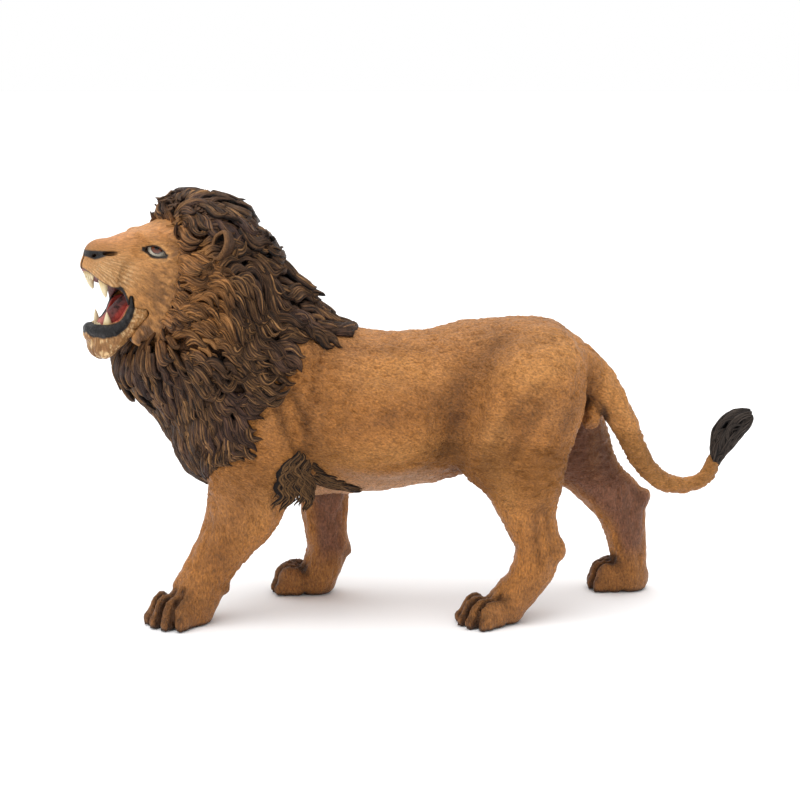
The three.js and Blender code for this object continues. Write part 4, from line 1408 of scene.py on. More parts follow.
@dataclass
class Strands:
    """Locks of hair: each is a profile carried along a path, with a root, a belly and a pointed tip.

    Attributes:
        top: points across the crest side.
        under: points across the hidden side.
        steps: rings along a lock.
        ridges: fewest and most fine ridges that a lock has.
    """

    top: int = 10
    under: int = 2
    steps: int = 11
    ridges: tuple = (2.2, 4.8)

    def mesh(
        self, path: Array, out: Array, width: Array, thick: Array, seed: int
    ) -> tuple[Array, list, Array, Array, Array]:
        """Surface of all locks at once.

        With a from -1 to 1 across and q from 0 to 1 along, a point stands at path(q) + side * a * width * w(q) / 2
        + out * height, where w(q) is sqrt(q + 0.1) * (1 - q^1.7) scaled to 1 at its widest, and height is
        thick * sqrt(w(q)) * sqrt(1 - a^2) * (0.6 + 0.4 |sin(ridges)|).

        Args:
            path: middle lines, locks x steps x 3.
            out: ways out of the skin, of the same shape.
            width: widest width of each lock.
            thick: height of each lock.
            seed: number for its ridges.

        Returns:
            Points, faces, relief (0 in grooves to 1 on crests), places along the locks, and places in the hair.
        """
        chance = np.random.default_rng(seed)
        locks = len(path)
        q = np.linspace(0, 1, self.steps)[:, None]
        taper = np.sqrt(q + 0.1) * (1 - q**1.7)
        taper = np.maximum(taper / taper.max(), 0.03)
        side = unit(np.cross(np.gradient(path, axis=1), out))
        a = np.concatenate([np.linspace(-1, 1, self.top), np.linspace(1, -1, self.under + 2)[1:-1]])
        upper = np.arange(len(a)) < self.top
        width, thick = width[:, None, None], thick[:, None, None]
        strands = chance.uniform(*self.ridges, locks)[:, None, None] * math.pi / 2
        phase = chance.uniform(0, math.pi, (locks, 1, 1))
        swirl = chance.uniform(-1.6, 1.6, (locks, 1, 1)) * q
        ridge = np.abs(np.sin(a * strands + phase + swirl))
        dome = np.sqrt(np.clip(1 - a**2, 0, 1))
        height = np.where(upper, dome * (0.6 + 0.4 * ridge), -0.6 * dome) * (thick * np.sqrt(taper))
        across = a * (width * taper / 2)
        points = path[:, :, None] + side[:, :, None] * across[..., None] + out[:, :, None] * height[..., None]
        relief = np.where(upper, dome**0.7 * (0.25 + 0.75 * ridge), 0.0)
        length = np.linalg.norm(np.diff(path, axis=1), axis=-1).sum(axis=1)[:, None, None]
        comb = np.empty(points.shape)
        comb[..., 0] = a * width / 2 + swirl * 0.3
        comb[..., 1] = q * length * 0.1
        comb[..., 2] = np.arange(locks)[:, None, None] * 3.7
        share = np.broadcast_to(q, relief.shape)
        faces = tube_faces(locks, self.steps, len(a), turned=True)
        return points.reshape(-1, 3), faces, relief.reshape(-1), share.reshape(-1), comb.reshape(-1, 3)


@dataclass
class Mane:
    """The mane: a form of its own covered in rows of wavy carved locks that sweep back from the face.

    Attributes:
        rows: rows of locks from the face to the shoulders.
        spacing: distance between locks across a row.
        length: length of a lock.
        width: width of a lock.
        thick: height of a lock.
        lift: how far its tip stands off.
        curl: how far, in radians, the locks wave to either side.
        finish: its paint.
    """

    rows: int = 27
    spacing: float = 2.1
    length: float = 7.4
    width: float = 2.5
    thick: float = 1.05
    lift: float = 1.5
    curl: float = 0.7
    finish: PaintFinish = PaintFinish(
        "mane_paint", roughness=0.42, tooth_size=0.25, hair=0.3, hair_size=0.26, brush=1.0, shine=0.18
    )

    def over_coat(self, path: Array) -> Array:
        """Lifts the locks' middle lines out of the coat where they run a little under it.

        Args:
            path: the lines, locks x steps x 3.

        Returns:
            The lines, moved up the slope of the coat's field to 0.3 mm outside it, by 3.5 mm at most.
        """
        flat = path.reshape(-1, 3).copy()
        coat = Coat()
        deep = coat.distance(flat)
        under = (deep < 0.3) & (deep > -3.2)
        slope = slope_of(coat.distance, flat[under])
        flat[under] += slope * (0.3 - deep[under])[:, None]
        return flat.reshape(path.shape)

    def roots(self, chance: np.random.Generator) -> tuple[Array, Array]:
        """Places of the roots, in jittered rows.

        Args:
            chance: random numbers.

        Returns:
            The roots' u and v.
        """
        us, vs = [], []
        for row in range(self.rows):
            u = 0.01 + 0.93 * row / (self.rows - 1)
            v = np.linspace(0, FULL_TURN, 200)
            ring = Loft(MANE).surface(np.full(200, u), v)
            gap = np.linalg.norm(np.diff(ring, axis=0), axis=1)
            travel = np.concatenate([[0], np.cumsum(gap)])
            count = int(travel[-1] / self.spacing)
            want = (np.arange(count) + 0.5 * (row % 2)) / count * travel[-1]
            want = want + chance.uniform(-0.4, 0.4, count) * self.spacing
            vs.append(np.interp(want % travel[-1], travel, v))
            us.append(u + chance.uniform(-0.015, 0.015, count))
        return np.concatenate(us), np.concatenate(vs)

    def grow(self, u: Array, v: Array, steps: int, chance: np.random.Generator) -> tuple[Array, Array, Array, Array]:
        """Walks every lock over the skin.

        Its heading is the fall of the hair, plus a smooth field that makes neighbours swirl together, plus a wave
        along the lock, curl * (0.5 + q) * sin(beat q + phase) less half of its value at the lock's middle.

        Args:
            u, v: the roots' places on the mane's form.
            steps: points on each middle line.
            chance: random numbers.

        Returns:
            The middle lines, the ways out of the skin, and the locks' widths and heights.
        """
        loft = Loft(MANE)
        root = loft.surface(u, v)
        count = len(u)
        crown = ramp(np.cos(v), 0.2, 0.8)
        front = ramp(u, 0.0, 0.12)
        fuller = np.maximum(front, crown)
        beside = np.abs(signed(v)) / math.pi
        cheek = (1 - ramp(u, 0.09, 0.15)) * ramp(beside, 0.13, 0.22) * (1 - ramp(beside, 0.7, 0.8))
        length = self.length * chance.uniform(0.7, 1.25, count) * (0.7 + 0.3 * front)
        width = self.width * chance.uniform(0.6, 1.2, count) * (0.75 + 0.25 * fuller)
        thick = self.thick * chance.uniform(0.7, 1.2, count) * (0.6 + 0.4 * fuller)
        lift = self.lift * chance.uniform(0.3, 1.5, count) * (0.4 + 0.6 * fuller)
        bulk = (0.6 * front + grain(root, 5.0, 51)) * (1 - crown) + crown * (2.0 * grain(root, 3.6, 56) + 0.3)
        bulk = np.maximum(bulk + 1.4 * ramp(beside, 0.6, 0.8) * (1 - ramp(u, 0.1, 0.25)), -0.1) * (1 - cheek)
        nape = crown * ramp(u, 0.62, 0.82)
        bulk = bulk * (1 - 0.8 * nape)
        lift = lift * (1 - 0.6 * ramp(beside, 0.75, 0.9)) * (1 - 0.5 * nape)
        length, width = length * (1 - 0.35 * cheek), width * (1 - 0.45 * cheek)
        thick, lift = thick * (1 - 0.6 * cheek), lift * (1 - 0.75 * cheek)
        phase = 2.6 * grain(root, 8.0, 54) + chance.uniform(-0.5, 0.5, count)
        beat = chance.uniform(3.6, 6.0, count)
        path = np.empty((count, steps, 3))
        outs = np.empty_like(path)
        step = length / (steps - 1)
        for k, q in enumerate(np.linspace(0, 1, steps)):
            along, around, out = loft.slopes(u, v)
            here = loft.surface(u, v)
            share = np.abs(signed(v)) / math.pi
            fall = np.interp(share, [0, 0.15, 0.3, 0.5, 0.7, 0.9, 1], [0, -0.1, -0.2, -0.2, -0.15, 0.0, 0])
            fall += 0.5 * (1 - ramp(u, 0.04, 0.3)) * np.sin(np.abs(signed(v))) * ramp(share, 0.2, 0.5)
            flow = (0.65 + 0.7 * crown) * grain(here, 7.0, 52)
            wave = np.sin(beat * q + phase) - np.sin(beat / 2 + phase) * 0.5
            heading = np.sign(signed(v)) * fall + flow + self.curl * (0.5 + q) * wave
            stand = bulk + 0.1 + lift * q**1.7 * (1 + 0.3 * np.sin(beat * q * 1.3))
            stand = np.minimum(stand, (MANE_TOP - here[:, 2]) / np.maximum(out[:, 2], 0.25) - thick)
            path[:, k] = here + out * stand[:, None]
            outs[:, k] = out
            u = np.clip(u + step * np.cos(heading) / (np.linalg.norm(along, axis=1) + 1e-6), 0.0, 1.0)
            v = v + step * np.sin(heading) / (np.linalg.norm(around, axis=1) + 1e-6)
        return self.over_coat(path), outs, width, thick

    def kept(self, path: Array, root: Array) -> Array:
        """Which locks stay: those above the legs, inside the mane's ragged rear border and clear of the ears.

        Args:
            path: the middle lines, locks x steps x 3.
            root: where they start.

        Returns:
            True or False for each.
        """
        tip = path[:, -1]
        border = [[29, 32, 36, 40, 46.6, 51.6, 57.7, 64, 70], [-38, -31, -28, -26.6, -24, -20.5, -18.5, -14, -8]]
        edge = np.interp(tip[:, 2], *border)
        edge = edge + (-8 - edge) * (1 - ramp(np.abs(tip[:, 1]), 5, 13)) * ramp(tip[:, 2], 50, 58)
        keep = (path[:, :, 2].min(axis=1) > 27.5) & (np.abs(path[:, :, 1]).max(axis=1) < 20.9)
        keep &= tip[:, 0] < edge + 1.5 * grain(root, 3.0, 55)
        ears = np.array([EAR_LEFT, EAR_RIGHT])[(root[:, 1] > 0).astype(int)][:, None, :]
        return keep & (np.linalg.norm(path - ears, axis=2).min(axis=1) > 2.8)

    def build(self) -> None:
        """Grows the locks over the mane's form and paints them, in three rows from the crown to the chest."""
        chance = np.random.default_rng(4)
        strands = Strands()
        u, v = self.roots(chance)
        root = Loft(MANE).surface(u, v)
        path, outs, width, thick = self.grow(u, v, strands.steps, chance)
        keep = self.kept(path, root)
        path, outs, width, thick, root = path[keep], outs[keep], width[keep], thick[keep], root[keep]
        tone = chance.uniform(-1, 1, len(path))
        low, high = np.quantile(root[:, 2], [0.33, 0.66])
        third = (root[:, 2] < high).astype(int) + (root[:, 2] < low)
        material = self.finish.material()
        for row, name in enumerate(("mane_crown", "mane_neck", "mane_chest")):
            part = third == row
            points, faces, relief, share, comb = strands.mesh(path[part], outs[part], width[part], thick[part], 9)
            each = len(points) // part.sum()
            colour = self.paint(relief, share, np.repeat(tone[part], each), np.repeat(root[part], each, axis=0))
            points[:, 2] = np.minimum(points[:, 2], MANE_TOP + 0.1)
            add_piece(name, points, faces, material, Node.BODY, colour, comb)
        self.build_base(material)

    def paint(self, relief: Array, share: Array, tone: Array, root: Array) -> Array:
        """Dark brown locks, lighter dry-brushed crests, near-black grooves and a golden run-in at the cheeks.

        Args:
            relief: 0 in grooves to 1 on crests.
            share: place along the lock.
            tone: each lock's own lightness, -1 to 1.
            root: where its lock starts.

        Returns:
            Linear colours.
        """
        crest = ramp(relief, 0.75, 1.0) * np.clip(0.5 + 0.6 * tone, 0, 1)
        z = root[:, 2]
        gold = (1 - ramp(to_head(root)[:, 0], 2.0, 5.0)) * ramp(z, 56, 64) * (1 - ramp(z, 82, 86))
        run = mix(UMBER * 0.8, rgb(168, 114, 62), ramp(relief, 0.3, 0.8))
        colour = coats(
            MANE_DARK,
            (MANE_BROWN * 1.1, ramp(relief, 0.25, 0.8)),
            (MANE_PLUM, 0.6 * ramp(grain(root, 5.0, 61), 0.0, 0.6)),
            (MANE_LIGHT, 0.8 * crest),
            (run, 0.85 * gold * np.clip(1.1 - share, 0, 1)),
        )
        return colour * (1 + 0.2 * tone * ramp(share, 0.0, 0.6))[:, None]

    def build_base(self, material: bpy.types.Material) -> None:
        """The mane's own form under the locks: surface(u, v) on a grid, closed at both ends."""
        loft = Loft(MANE)
        rings, sides = 100, 170
        u, v = np.meshgrid(np.linspace(0, 1, rings), ring_angles(sides), indexing="ij")
        points = loft.surface(u, v)
        _, _, out = loft.slopes(u, v)
        flat = points.reshape(-1, 3)
        hair = grain(flat * [0.4, 1, 0.5], 0.9, 42)
        rise = 0.45 * hair.reshape(rings, sides, 1) - 0.4 - 1.6 * ramp(u, 0.76, 0.9)[..., None]
        points = (points + out * rise).reshape(-1, 3)
        edge = (1 - ramp(to_head(points)[:, 0], 3.0, 6.0)) * ramp(points[:, 2], 56, 64)
        colour = coats(MANE_DARK * 1.2, (MANE_BROWN, 0.85 * ramp(hair, -0.5, 0.5)), (UMBER, 0.7 * edge))
        faces = tube_faces(1, rings, sides, turned=True)
        add_piece("mane_base", points, faces, material, Node.BODY, colour, flat * [0.3, 1, 0.5])


@dataclass
class FaceEdge:
    """Short locks over the seam between face and mane, golden at the face and brown at their tips.

    Attributes:
        rows: rows of locks, 0.7 mm apart.
        around: locks in a row.
        length: length of a lock.
        finish: its paint.
    """

    rows: int = 8
    around: int = 84
    length: float = 5.4
    finish: PaintFinish = PaintFinish("edge_paint", roughness=0.5, tooth_size=0.25, hair=0.15, brush=0.5)

    def skin(self, points: Array) -> Array:
        """Field that the locks lie on: the head without its mouth, joined to the mane."""
        h = to_head(points)
        face = with_lumps(Loft(SKULL).distance(h), h, Head().cheeks())
        return soft_join(face, Loft(MANE).distance(points) - 0.5, 1.5)

    def build(self) -> None:
        """Grows the locks.

        Each starts on the skull at an angle v round it and walks over the skin in steps. Its heading is back along
        the head, up at the crown and down at the cheeks, turned to and fro by 0.5 sin(beat q + phase).
        """
        chance = np.random.default_rng(23)
        strands = Strands(top=6, steps=8, ridges=(1, 3))
        row, k = np.meshgrid(np.arange(self.rows), np.arange(self.around), indexing="ij")
        count = row.size
        v = ((k + 0.5 * (row % 2)) / self.around * FULL_TURN).ravel() + chance.uniform(-0.07, 0.07, count)
        side = np.abs(signed(v)) / math.pi
        start = np.interp(side, [0, 0.1, 0.2, 0.3, 0.5, 0.7, 0.85, 1], [-3.6, -2.6, 0.8, 1.8, 2.4, 2.4, 1.0, -2.0])
        x = start + 0.7 * row.ravel() + chance.uniform(-0.8, 0.8, count)
        table = np.array(SKULL, dtype=float)
        u = np.interp(-x, -(table[:, 0] + table[:, 2]) / 2, np.linspace(0, 1, len(table)))
        p = from_head(Loft(SKULL).surface(u, v))
        fall = np.interp(side, [0, 0.15, 0.35, 0.6, 1], [1.0, 0.5, 0.0, -0.6, -1.1])
        fall = fall + chance.uniform(-0.2, 0.2, count)
        heading = from_head(np.stack([np.ones(count), 0 * fall, fall], axis=1)) - HEAD_PLACE
        length = self.length * chance.uniform(0.7, 1.3, count)
        phase = chance.uniform(-1, 1, count) + 2.5 * grain(p, 5.0, 71)
        beat = chance.uniform(4.5, 6.5, count)
        lift = chance.uniform(0.2, 1.0, count) * (1 + 1.2 * (1 - ramp(side, 0.1, 0.25)))
        path = np.empty((count, strands.steps, 3))
        outs = np.empty_like(path)
        for step, q in enumerate(np.linspace(0, 1, strands.steps)):
            out = slope_of(self.skin, p)
            p = p - out * self.skin(p)[:, None]
            path[:, step] = p + out * (lift * q**1.5)[:, None]
            outs[:, step] = out
            level = unit(heading - out * (heading * out).sum(axis=1, keepdims=True))
            turn = (0.55 * np.sin(beat * q + phase))[:, None]
            stride = (length / strands.steps)[:, None]
            p = p + (level * np.cos(turn) + np.cross(out, level) * np.sin(turn)) * stride
        even = np.linalg.norm(np.diff(path, axis=1), axis=2).max(axis=1) < 1.4
        keep = (path[:, :, 2].max(axis=1) < 90.6) & even & (side < 0.78)
        path, outs, first = path[keep], outs[keep], row.ravel()[keep] / self.rows
        width = chance.uniform(0.6, 1.5, len(path)) * (0.7 + 0.5 * first)
        thick = chance.uniform(0.25, 0.5, len(path)) * (0.7 + 0.6 * first)
        points, faces, relief, share, comb = strands.mesh(path, outs, width, thick, 24)
        each = len(points) // len(path)
        deeper = np.maximum(ramp(to_head(points)[:, 0], 1.5, 5.0), ramp(points[:, 2], 83.5, 87))
        brown = 0.3 * np.repeat(first, each) + 0.3 * share + 0.8 * deeper + 0.15 * grain(points, 2.0, 72)
        brown = np.clip(brown, 0, 1)
        crest = mix(rgb(170, 120, 70), rgb(90, 64, 45), brown)
        groove = mix(rgb(116, 76, 40), MANE_DARK * 1.5, brown)
        colour = mix(groove, crest, ramp(relief, 0.2, 0.85))
        add_piece("face_edge", points, faces, self.finish.material(), Node.BODY, colour, comb)


@dataclass
class Ears:
    """Small round ears, cups half hidden in the mane.

    Attributes:
        size: outer radius of a cup.
        wall: how thick its wall is.
        finish: its paint.
    """

    size: float = 2.9
    wall: float = 0.6
    finish: PaintFinish = PaintFinish("ear_paint", stipple=0.15, tooth=0.05, hair=0.2, brush=0.4)

    def build(self) -> None:
        """Sets both ears.

        With t from 0 at the cup's bottom to 1.9 at its rim and a round it, a point stands at
        place + r * (sin t * (0.8 cos a * back + 1.15 sin a * up) - cos t * open), with r the size outside and the
        size less the wall inside.
        """
        material = self.finish.material()
        for name, place, side in (("ear_left", EAR_LEFT, -1), ("ear_right", EAR_RIGHT, 1)):
            opening = unit(np.array([-0.72, 0.62 * side, 0.25]))
            up = np.array([0.35, 0.15 * side, 1.0])
            up = unit(up - opening * (up @ opening))
            back = np.cross(up, opening)
            rings, sides = 14, 40
            t = np.concatenate([np.linspace(0.06, 1.9, rings), np.linspace(1.9, 0.06, rings)])[:, None, None]
            r = np.repeat([self.size, self.size - self.wall], rings)[:, None, None]
            a = ring_angles(sides)[None, :, None]
            r = r + 0.12 * np.sin(5 * a) * (t > 1.0)
            points = r * (np.sin(t) * (0.8 * np.cos(a) * back + 1.15 * np.sin(a) * up) - np.cos(t) * opening)
            points = (points + place).reshape(-1, 3)
            faces = tube_faces(1, 2 * rings, sides, turned=True)
            depth = (points - place) @ opening / self.size
            inside = np.repeat(np.arange(2 * rings) >= rings, sides)
            colour = mix(MANE_BROWN, rgb(128, 92, 60), ramp(depth, -0.1, 0.3))
            colour = mix(colour, MANE_DARK, inside * (1 - ramp(depth, -0.1, 0.35)))
            add_piece(name, points, faces, material, Node.BODY, colour, points * [1, 1, 0.4])


@dataclass
class TailTuft:
    """The black tuft: a spindle covered in thin locks.

    Attributes:
        rows: rows of locks.
        around: locks in a row.
        finish: its paint.
    """

    rows: int = 9
    around: int = 11
    finish: PaintFinish = PaintFinish(
        "tuft_paint", roughness=0.5, tooth_size=0.25, hair=0.15, hair_size=0.4, brush=0.3, shine=0.12
    )

    def build(self) -> None:
        """Grows the tuft's locks."""
        chance = np.random.default_rng(8)
        loft = Loft(TAIL_TUFT)
        strands = Strands(top=10, steps=12, ridges=(2, 4))
        row, k = np.meshgrid(np.arange(self.rows), np.arange(self.around), indexing="ij")
        u = (0.02 + 0.7 * row / (self.rows - 1)).ravel() + chance.uniform(-0.02, 0.02, row.size)
        v = ((k + 0.5 * (row % 2)) / self.around * FULL_TURN).ravel() + chance.uniform(-0.2, 0.2, row.size)
        reach = chance.uniform(0.3, 0.45, row.size)
        bend = chance.uniform(-0.7, 0.7, row.size)
        path = np.empty((row.size, strands.steps, 3))
        outs = np.empty_like(path)
        for step, q in enumerate(np.linspace(0, 1, strands.steps)):
            here = np.minimum(u + reach * q, 0.995)
            turn = v + bend * math.sin(3.5 * q)
            _, _, out = loft.slopes(here, turn)
            path[:, step] = loft.surface(here, turn) + out * (0.5 * q - 0.7)
            outs[:, step] = out
        width = chance.uniform(0.9, 1.5, row.size)
        thick = chance.uniform(0.6, 1.0, row.size)
        points, faces, relief, _, comb = strands.mesh(path, outs, width, thick, 12)
        over = np.maximum(points[:, 0] - 75.4, 0)
        points[:, 0] += 1.55 * np.tanh(over / 1.55) - over
        colour = mix(BLACK, rgb(76, 66, 59), ramp(relief, 0.55, 1.0))
        add_piece("tail_tuft", points, faces, self.finish.material(), Node.BODY, colour, comb)


@dataclass
class UnderHair:
    """Hair behind the elbows and the fringe that runs back from it along the belly.

    Attributes:
        locks: locks of each tuft, and of each fringe.
        near_elbow: where the left tuft starts.
        far_elbow: where the right tuft starts.
        finish: its paint.
    """

    locks: int = 60
    near_elbow: tuple = (-21.8, -17.2, 38.0)
    far_elbow: tuple = (-12.5, 16.0, 36.0)
    finish: PaintFinish = PaintFinish("fringe_paint", roughness=0.5, stipple=0.15, hair=0.25, brush=0.8)

    def paths(self, place: tuple, side: int, chance: np.random.Generator, steps: int) -> tuple[Array, Array]:
        """Middle lines of one side's locks: a hanging tuft, then locks laid back along the belly's edge.

        Args:
            place: where the tuft starts.
            side: -1 for the left, 1 for the right.
            chance: random numbers.
            steps: points on each line.

        Returns:
            The lines and the ways out of the skin.
        """
        q = np.linspace(0, 1, steps)[None, :]
        count = self.locks
        t = chance.uniform(0, 1, (count, 1))
        s = chance.uniform(0, 1, (count, 1)) ** 0.8
        wave = chance.uniform(0.5, 1.0, (count, 1))
        wave = wave * np.sin(8.0 * q + 2.5 * s + chance.uniform(0, 1.5, (count, 1)))
        x = place[0] + (t - 0.4) * (3.0 + 3.5 * s) - 0.6 * s + (t - 0.6) * 3.0 * q + wave
        y = place[1] - side * (0.42 * np.clip(x - place[0] + 3.0, 0, 9))
        y = y + side * (0.3 + 0.4 * np.sin(4.0 * q + 6 * s))
        z = place[2] - 8.0 * s - 5.5 * q
        tuft = np.stack([x, y, z], axis=-1)
        tuft_out = np.broadcast_to(np.array([0.5, side, 0.0]) / math.hypot(0.5, 1), tuft.shape)
        loft = Loft(TORSO)
        t = chance.uniform(0, 1, count)
        u = 0.25 + 0.12 * t
        v = -side * (1.95 + 0.62 * t + chance.uniform(-0.16, 0.16, count) * (1 - 0.5 * t))
        bend = chance.uniform(-0.06, 0.06, count)
        lines, outs = [], []
        for k in range(steps):
            share = k / (steps - 1)
            here = u + 0.045 * share
            turn = v - side * (0.12 * share + bend * math.sin(5.0 * share))
            _, _, out = loft.slopes(here, turn)
            lines.append(loft.surface(here, turn) + out * (0.5 * share - 0.1))
            outs.append(out)
        fringe = np.stack(lines, axis=1)
        return np.concatenate([tuft, fringe]), np.concatenate([tuft_out, np.stack(outs, axis=1)])

    def build(self) -> None:
        """Grows both sides' hair."""
        chance = np.random.default_rng(15)
        strands = Strands(ridges=(1, 3))
        material = self.finish.material()
        tufts = (("elbow_hair_left", self.near_elbow, -1), ("elbow_hair_right", self.far_elbow, 1))
        for name, place, side in tufts:
            path, outs = self.paths(place, side, chance, strands.steps)
            width = chance.uniform(0.8, 1.5, len(path))
            thick = chance.uniform(0.3, 0.6, len(path))
            points, faces, relief, _, comb = strands.mesh(path, outs, width, thick, 16 + side)
            colour = mix(MANE_DARK * 1.2, MANE_LIGHT, 0.4 * ramp(relief, 0.6, 1.0))
            add_piece(name, points, faces, material, Node.BODY, colour, comb)


@dataclass
class Teeth:
    """Ivory teeth: curved cones, the long canines first.

    Attributes:
        finish: their paint.
    """

    finish: PaintFinish = PaintFinish(
        "ivory_paint", roughness=0.3, stipple=0.06, stipple_size=0.6, tooth=0.02, tooth_size=0.5,
        gloss=0.3, shine=0.5,
    )

    def cones(self, teeth: list) -> tuple[Array, list, Array]:
        """Surface of a row of teeth in the head's own frame.

        Each tooth is root + (bend q^2, lean q^1.5, tall q) with a round section of radius
        thick * (1 - q^1.5) ^ point.

        Args:
            teeth: rows of root (x, y, z), tall, thick, bend, lean and point, all pointing down or all up.

        Returns:
            Points, faces and each point's height along its tooth.
        """
        left, across, up, tall, thick, bend, lean, point = np.array(teeth, dtype=float).T[..., None, None]
        rings, sides = 14, 14
        q = np.linspace(0, 0.995, rings)[None, :, None]
        angle = ring_angles(sides)[None, None, :]
        radius = thick * (1 - q**1.5) ** point
        x = left + bend * q**2 + radius * np.cos(angle)
        y = across + lean * q**1.5 + radius * np.sin(angle)
        z = up + tall * q + 0 * angle
        points = np.stack([x, y, z], axis=-1).reshape(-1, 3)
        faces = tube_faces(len(teeth), rings, sides, turned=tall.item(0) > 0)
        share = np.broadcast_to(q, x.shape).reshape(-1)
        return points, faces, share

    def build(self) -> None:
        """Sets the upper and the lower teeth."""
        upper = [(-14.9, -3.6, 73.2, -4.3, 1.05, 0.5, 0, 0.6), (-15.9, 3.1, 75.0, -4.9, 1.15, 0.9, 0, 0.5)]
        upper += [(-16.8, s * 0.75, 74.2, -1.6, 0.42, 0.1, 0, 0.5) for s in (-3, -1, 1, 3)]
        lower = [(-13.9, -2.7, 62.3, 3.6, 1.1, -0.1, 0, 1.0), (-14.3, 3.0, 61.8, 4.1, 0.8, -0.3, 0, 0.7)]
        lower += [(-15.4, s * 0.7, 62.4, 1.2, 0.38, -0.1, 0, 0.5) for s in (-3, -1, 1, 3)]
        material = self.finish.material()
        for name, rows, node in (("upper_teeth", upper, Node.BODY), ("lower_teeth", lower, Node.JAW)):
            points, faces, share = self.cones(rows)
            colour = mix(rgb(196, 168, 112), IVORY, ramp(share, 0.2, 0.6))
            add_piece(name, from_head(points), faces, material, node, colour)


@dataclass
class Eyes:
    """Painted eyes: an ivory ball with a brown iris, a black pupil and a glint.

    Attributes:
        gaze: the way the left eye looks, in the head's own frame.
        iris: how far the iris reaches from its middle, in degrees.
        finish: their paint.
    """

    gaze: tuple = (-0.44, -0.78, 0.44)
    iris: float = 32
    finish: PaintFinish = PaintFinish(
        "eye_paint", roughness=0.12, stipple=0.04, stipple_size=0.6, tooth=0.0, tooth_size=0.5,
        gloss=0.5, shine=0.4,
    )

    def build(self) -> None:
        """Sets both eyes: points of a ball by latitude and longitude, coloured by the angle from the gaze."""
        rings, sides = 48, 64
        material = self.finish.material()
        place = EYE_PLACE - eye_axes()[2] * EYE_BACK
        lat, lon = np.meshgrid(np.linspace(0.02, math.pi - 0.02, rings), ring_angles(sides), indexing="ij")
        ball = np.stack([np.sin(lat) * np.cos(lon), np.sin(lat) * np.sin(lon), np.cos(lat)], -1).reshape(-1, 3)
        for name, side in (("eye_left", 1), ("eye_right", -1)):
            mirror = np.array([1, side, 1])
            gaze = unit(np.array(self.gaze) * mirror)
            glint = unit(gaze + np.array([-0.12, 0.02 * side, 0.16]))
            angle, spark = (np.degrees(np.arccos(np.clip(ball @ way, -1, 1))) for way in (gaze, glint))
            colour = coats(
                rgb(126, 62, 34),
                (rgb(246, 234, 212), ramp(angle, self.iris, self.iris + 2)),
                (BLACK, 1 - ramp(angle, 13, 16)),
                (BLACK, 0.85 * (1 - ramp(np.abs(angle - self.iris), 1.2, 3.2))),
                (rgb(255, 250, 240), 1 - ramp(spark, 4, 7)),
            )
            points = from_head(place * mirror + ball * EYE_RADIUS)
            add_piece(name, points, tube_faces(1, rings, sides), material, Node.BODY, colour)


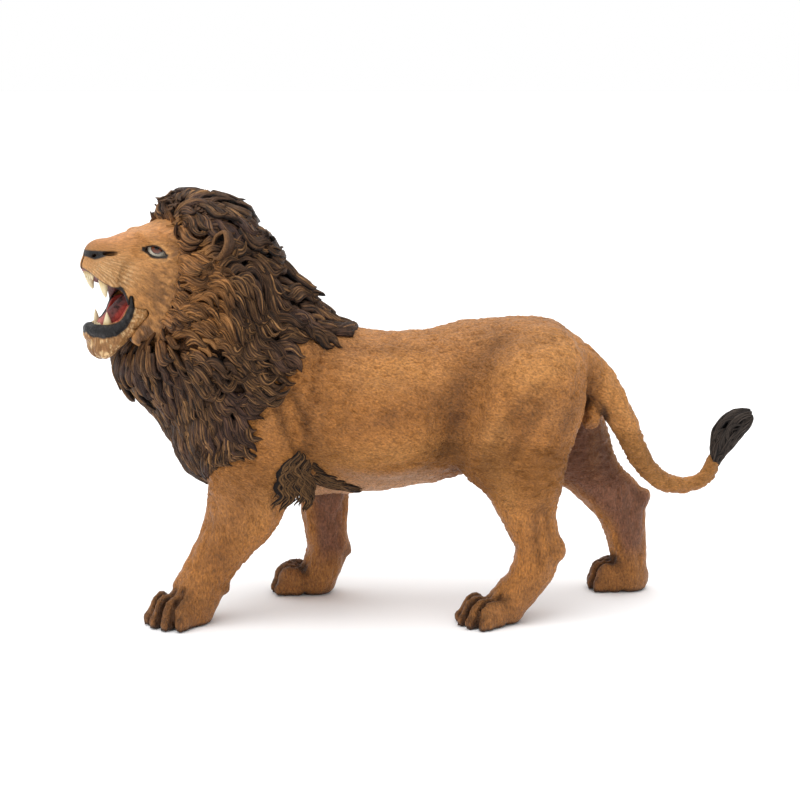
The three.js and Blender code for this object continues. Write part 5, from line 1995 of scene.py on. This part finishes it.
@dataclass
class Studio:
    """Pale floor, soft light and a camera at the photograph's place.

    Attributes:
        distance: from the camera to the point it looks at, in metres.
        elevation: how far above level it stands, in degrees.
        pixels_per_mm: scale of the picture at that point.
        aim: the point, in the sculptor's millimetres.
    """

    distance: float = 0.42
    elevation: float = 10.0
    pixels_per_mm: float = 4.65
    aim: tuple = (0.0, 0.0, 45.6)

    def build(self) -> None:
        """Makes the camera, the floor, the lamps and the sky."""
        scene = bpy.context.scene
        aim = Vector((np.array(self.aim) - BOX_MIDDLE) * MM)
        tilt = math.radians(self.elevation)
        camera_data = bpy.data.cameras.new("camera")
        camera_data.sensor_width = 36
        camera_data.lens = 36 * self.pixels_per_mm * self.distance * 1000 / 800
        camera_data.clip_start = 0.01
        camera = bpy.data.objects.new("camera", camera_data)
        camera.location = aim + Vector((0, -math.cos(tilt), math.sin(tilt))) * self.distance
        camera.rotation_euler = (math.pi / 2 - tilt, 0, 0)
        scene.collection.objects.link(camera)
        scene.camera = camera
        mesh = bpy.data.meshes.new("floor")
        size = 6.0
        corners = [(-size, -size, 0), (size, -size, 0), (size, size, 0), (-size, size, 0)]
        mesh.from_pydata(corners, [], [(0, 1, 2, 3)])
        floor = bpy.data.objects.new("floor", mesh)
        floor.location.z = -0.00005
        scene.collection.objects.link(floor)
        paper = bpy.data.materials.new("paper")
        paper.use_nodes = True
        shader = paper.node_tree.nodes["Principled BSDF"]
        shader.inputs["Base Color"].default_value = (0.97, 0.97, 0.975, 1)
        shader.inputs["Roughness"].default_value = 0.9
        mesh.materials.append(paper)
        self.sun("key", (-0.35, -0.5, 1.2), 1.3, 70)
        self.sun("top", (-0.1, 0.15, 1.0), 1.7, 80)
        self.sky(scene)
        scene.view_settings.view_transform = "Standard"

    def sun(self, name: str, place: tuple, strength: float, spread: float) -> None:
        """Adds a far, soft lamp that lights the lion and the whole floor alike.

        Args:
            name: its name.
            place: the way towards it.
            strength: its power on a square metre.
            spread: how wide it is in the sky, in degrees.
        """
        data = bpy.data.lights.new(name, "SUN")
        data.energy = strength
        data.angle = math.radians(spread)
        lamp = bpy.data.objects.new(name, data)
        lamp.rotation_euler = (-Vector(place)).to_track_quat("-Z", "Y").to_euler()
        bpy.context.scene.collection.objects.link(lamp)

    def sky(self, scene: bpy.types.Scene) -> None:
        """Makes the room: white round the horizon, less bright overhead."""
        world = bpy.data.worlds.new("sky")
        scene.world = world
        world.use_nodes = True
        tree = world.node_tree
        place = tree.nodes.new("ShaderNodeTexCoord")
        split = tree.nodes.new("ShaderNodeSeparateXYZ")
        level = tree.nodes.new("ShaderNodeMapRange")
        level.inputs["From Min"].default_value = 0.12
        level.inputs["From Max"].default_value = 0.3
        level.inputs["To Min"].default_value = 1.0
        level.inputs["To Max"].default_value = 0.7
        tree.links.new(place.outputs["Generated"], split.inputs[0])
        tree.links.new(split.outputs["Z"], level.inputs["Value"])
        tree.links.new(level.outputs["Result"], tree.nodes["Background"].inputs["Strength"])
        tree.nodes["Background"].inputs["Color"].default_value = (1, 1, 1, 1)


def main() -> None:
    """Builds the studio and every piece of the lion."""
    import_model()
    for maker in (Studio, Coat, Head, LowerJaw, Mane, FaceEdge, Ears, TailTuft, UnderHair, Teeth, Eyes):
        maker().build()


if __name__ == "__main__":
    main()
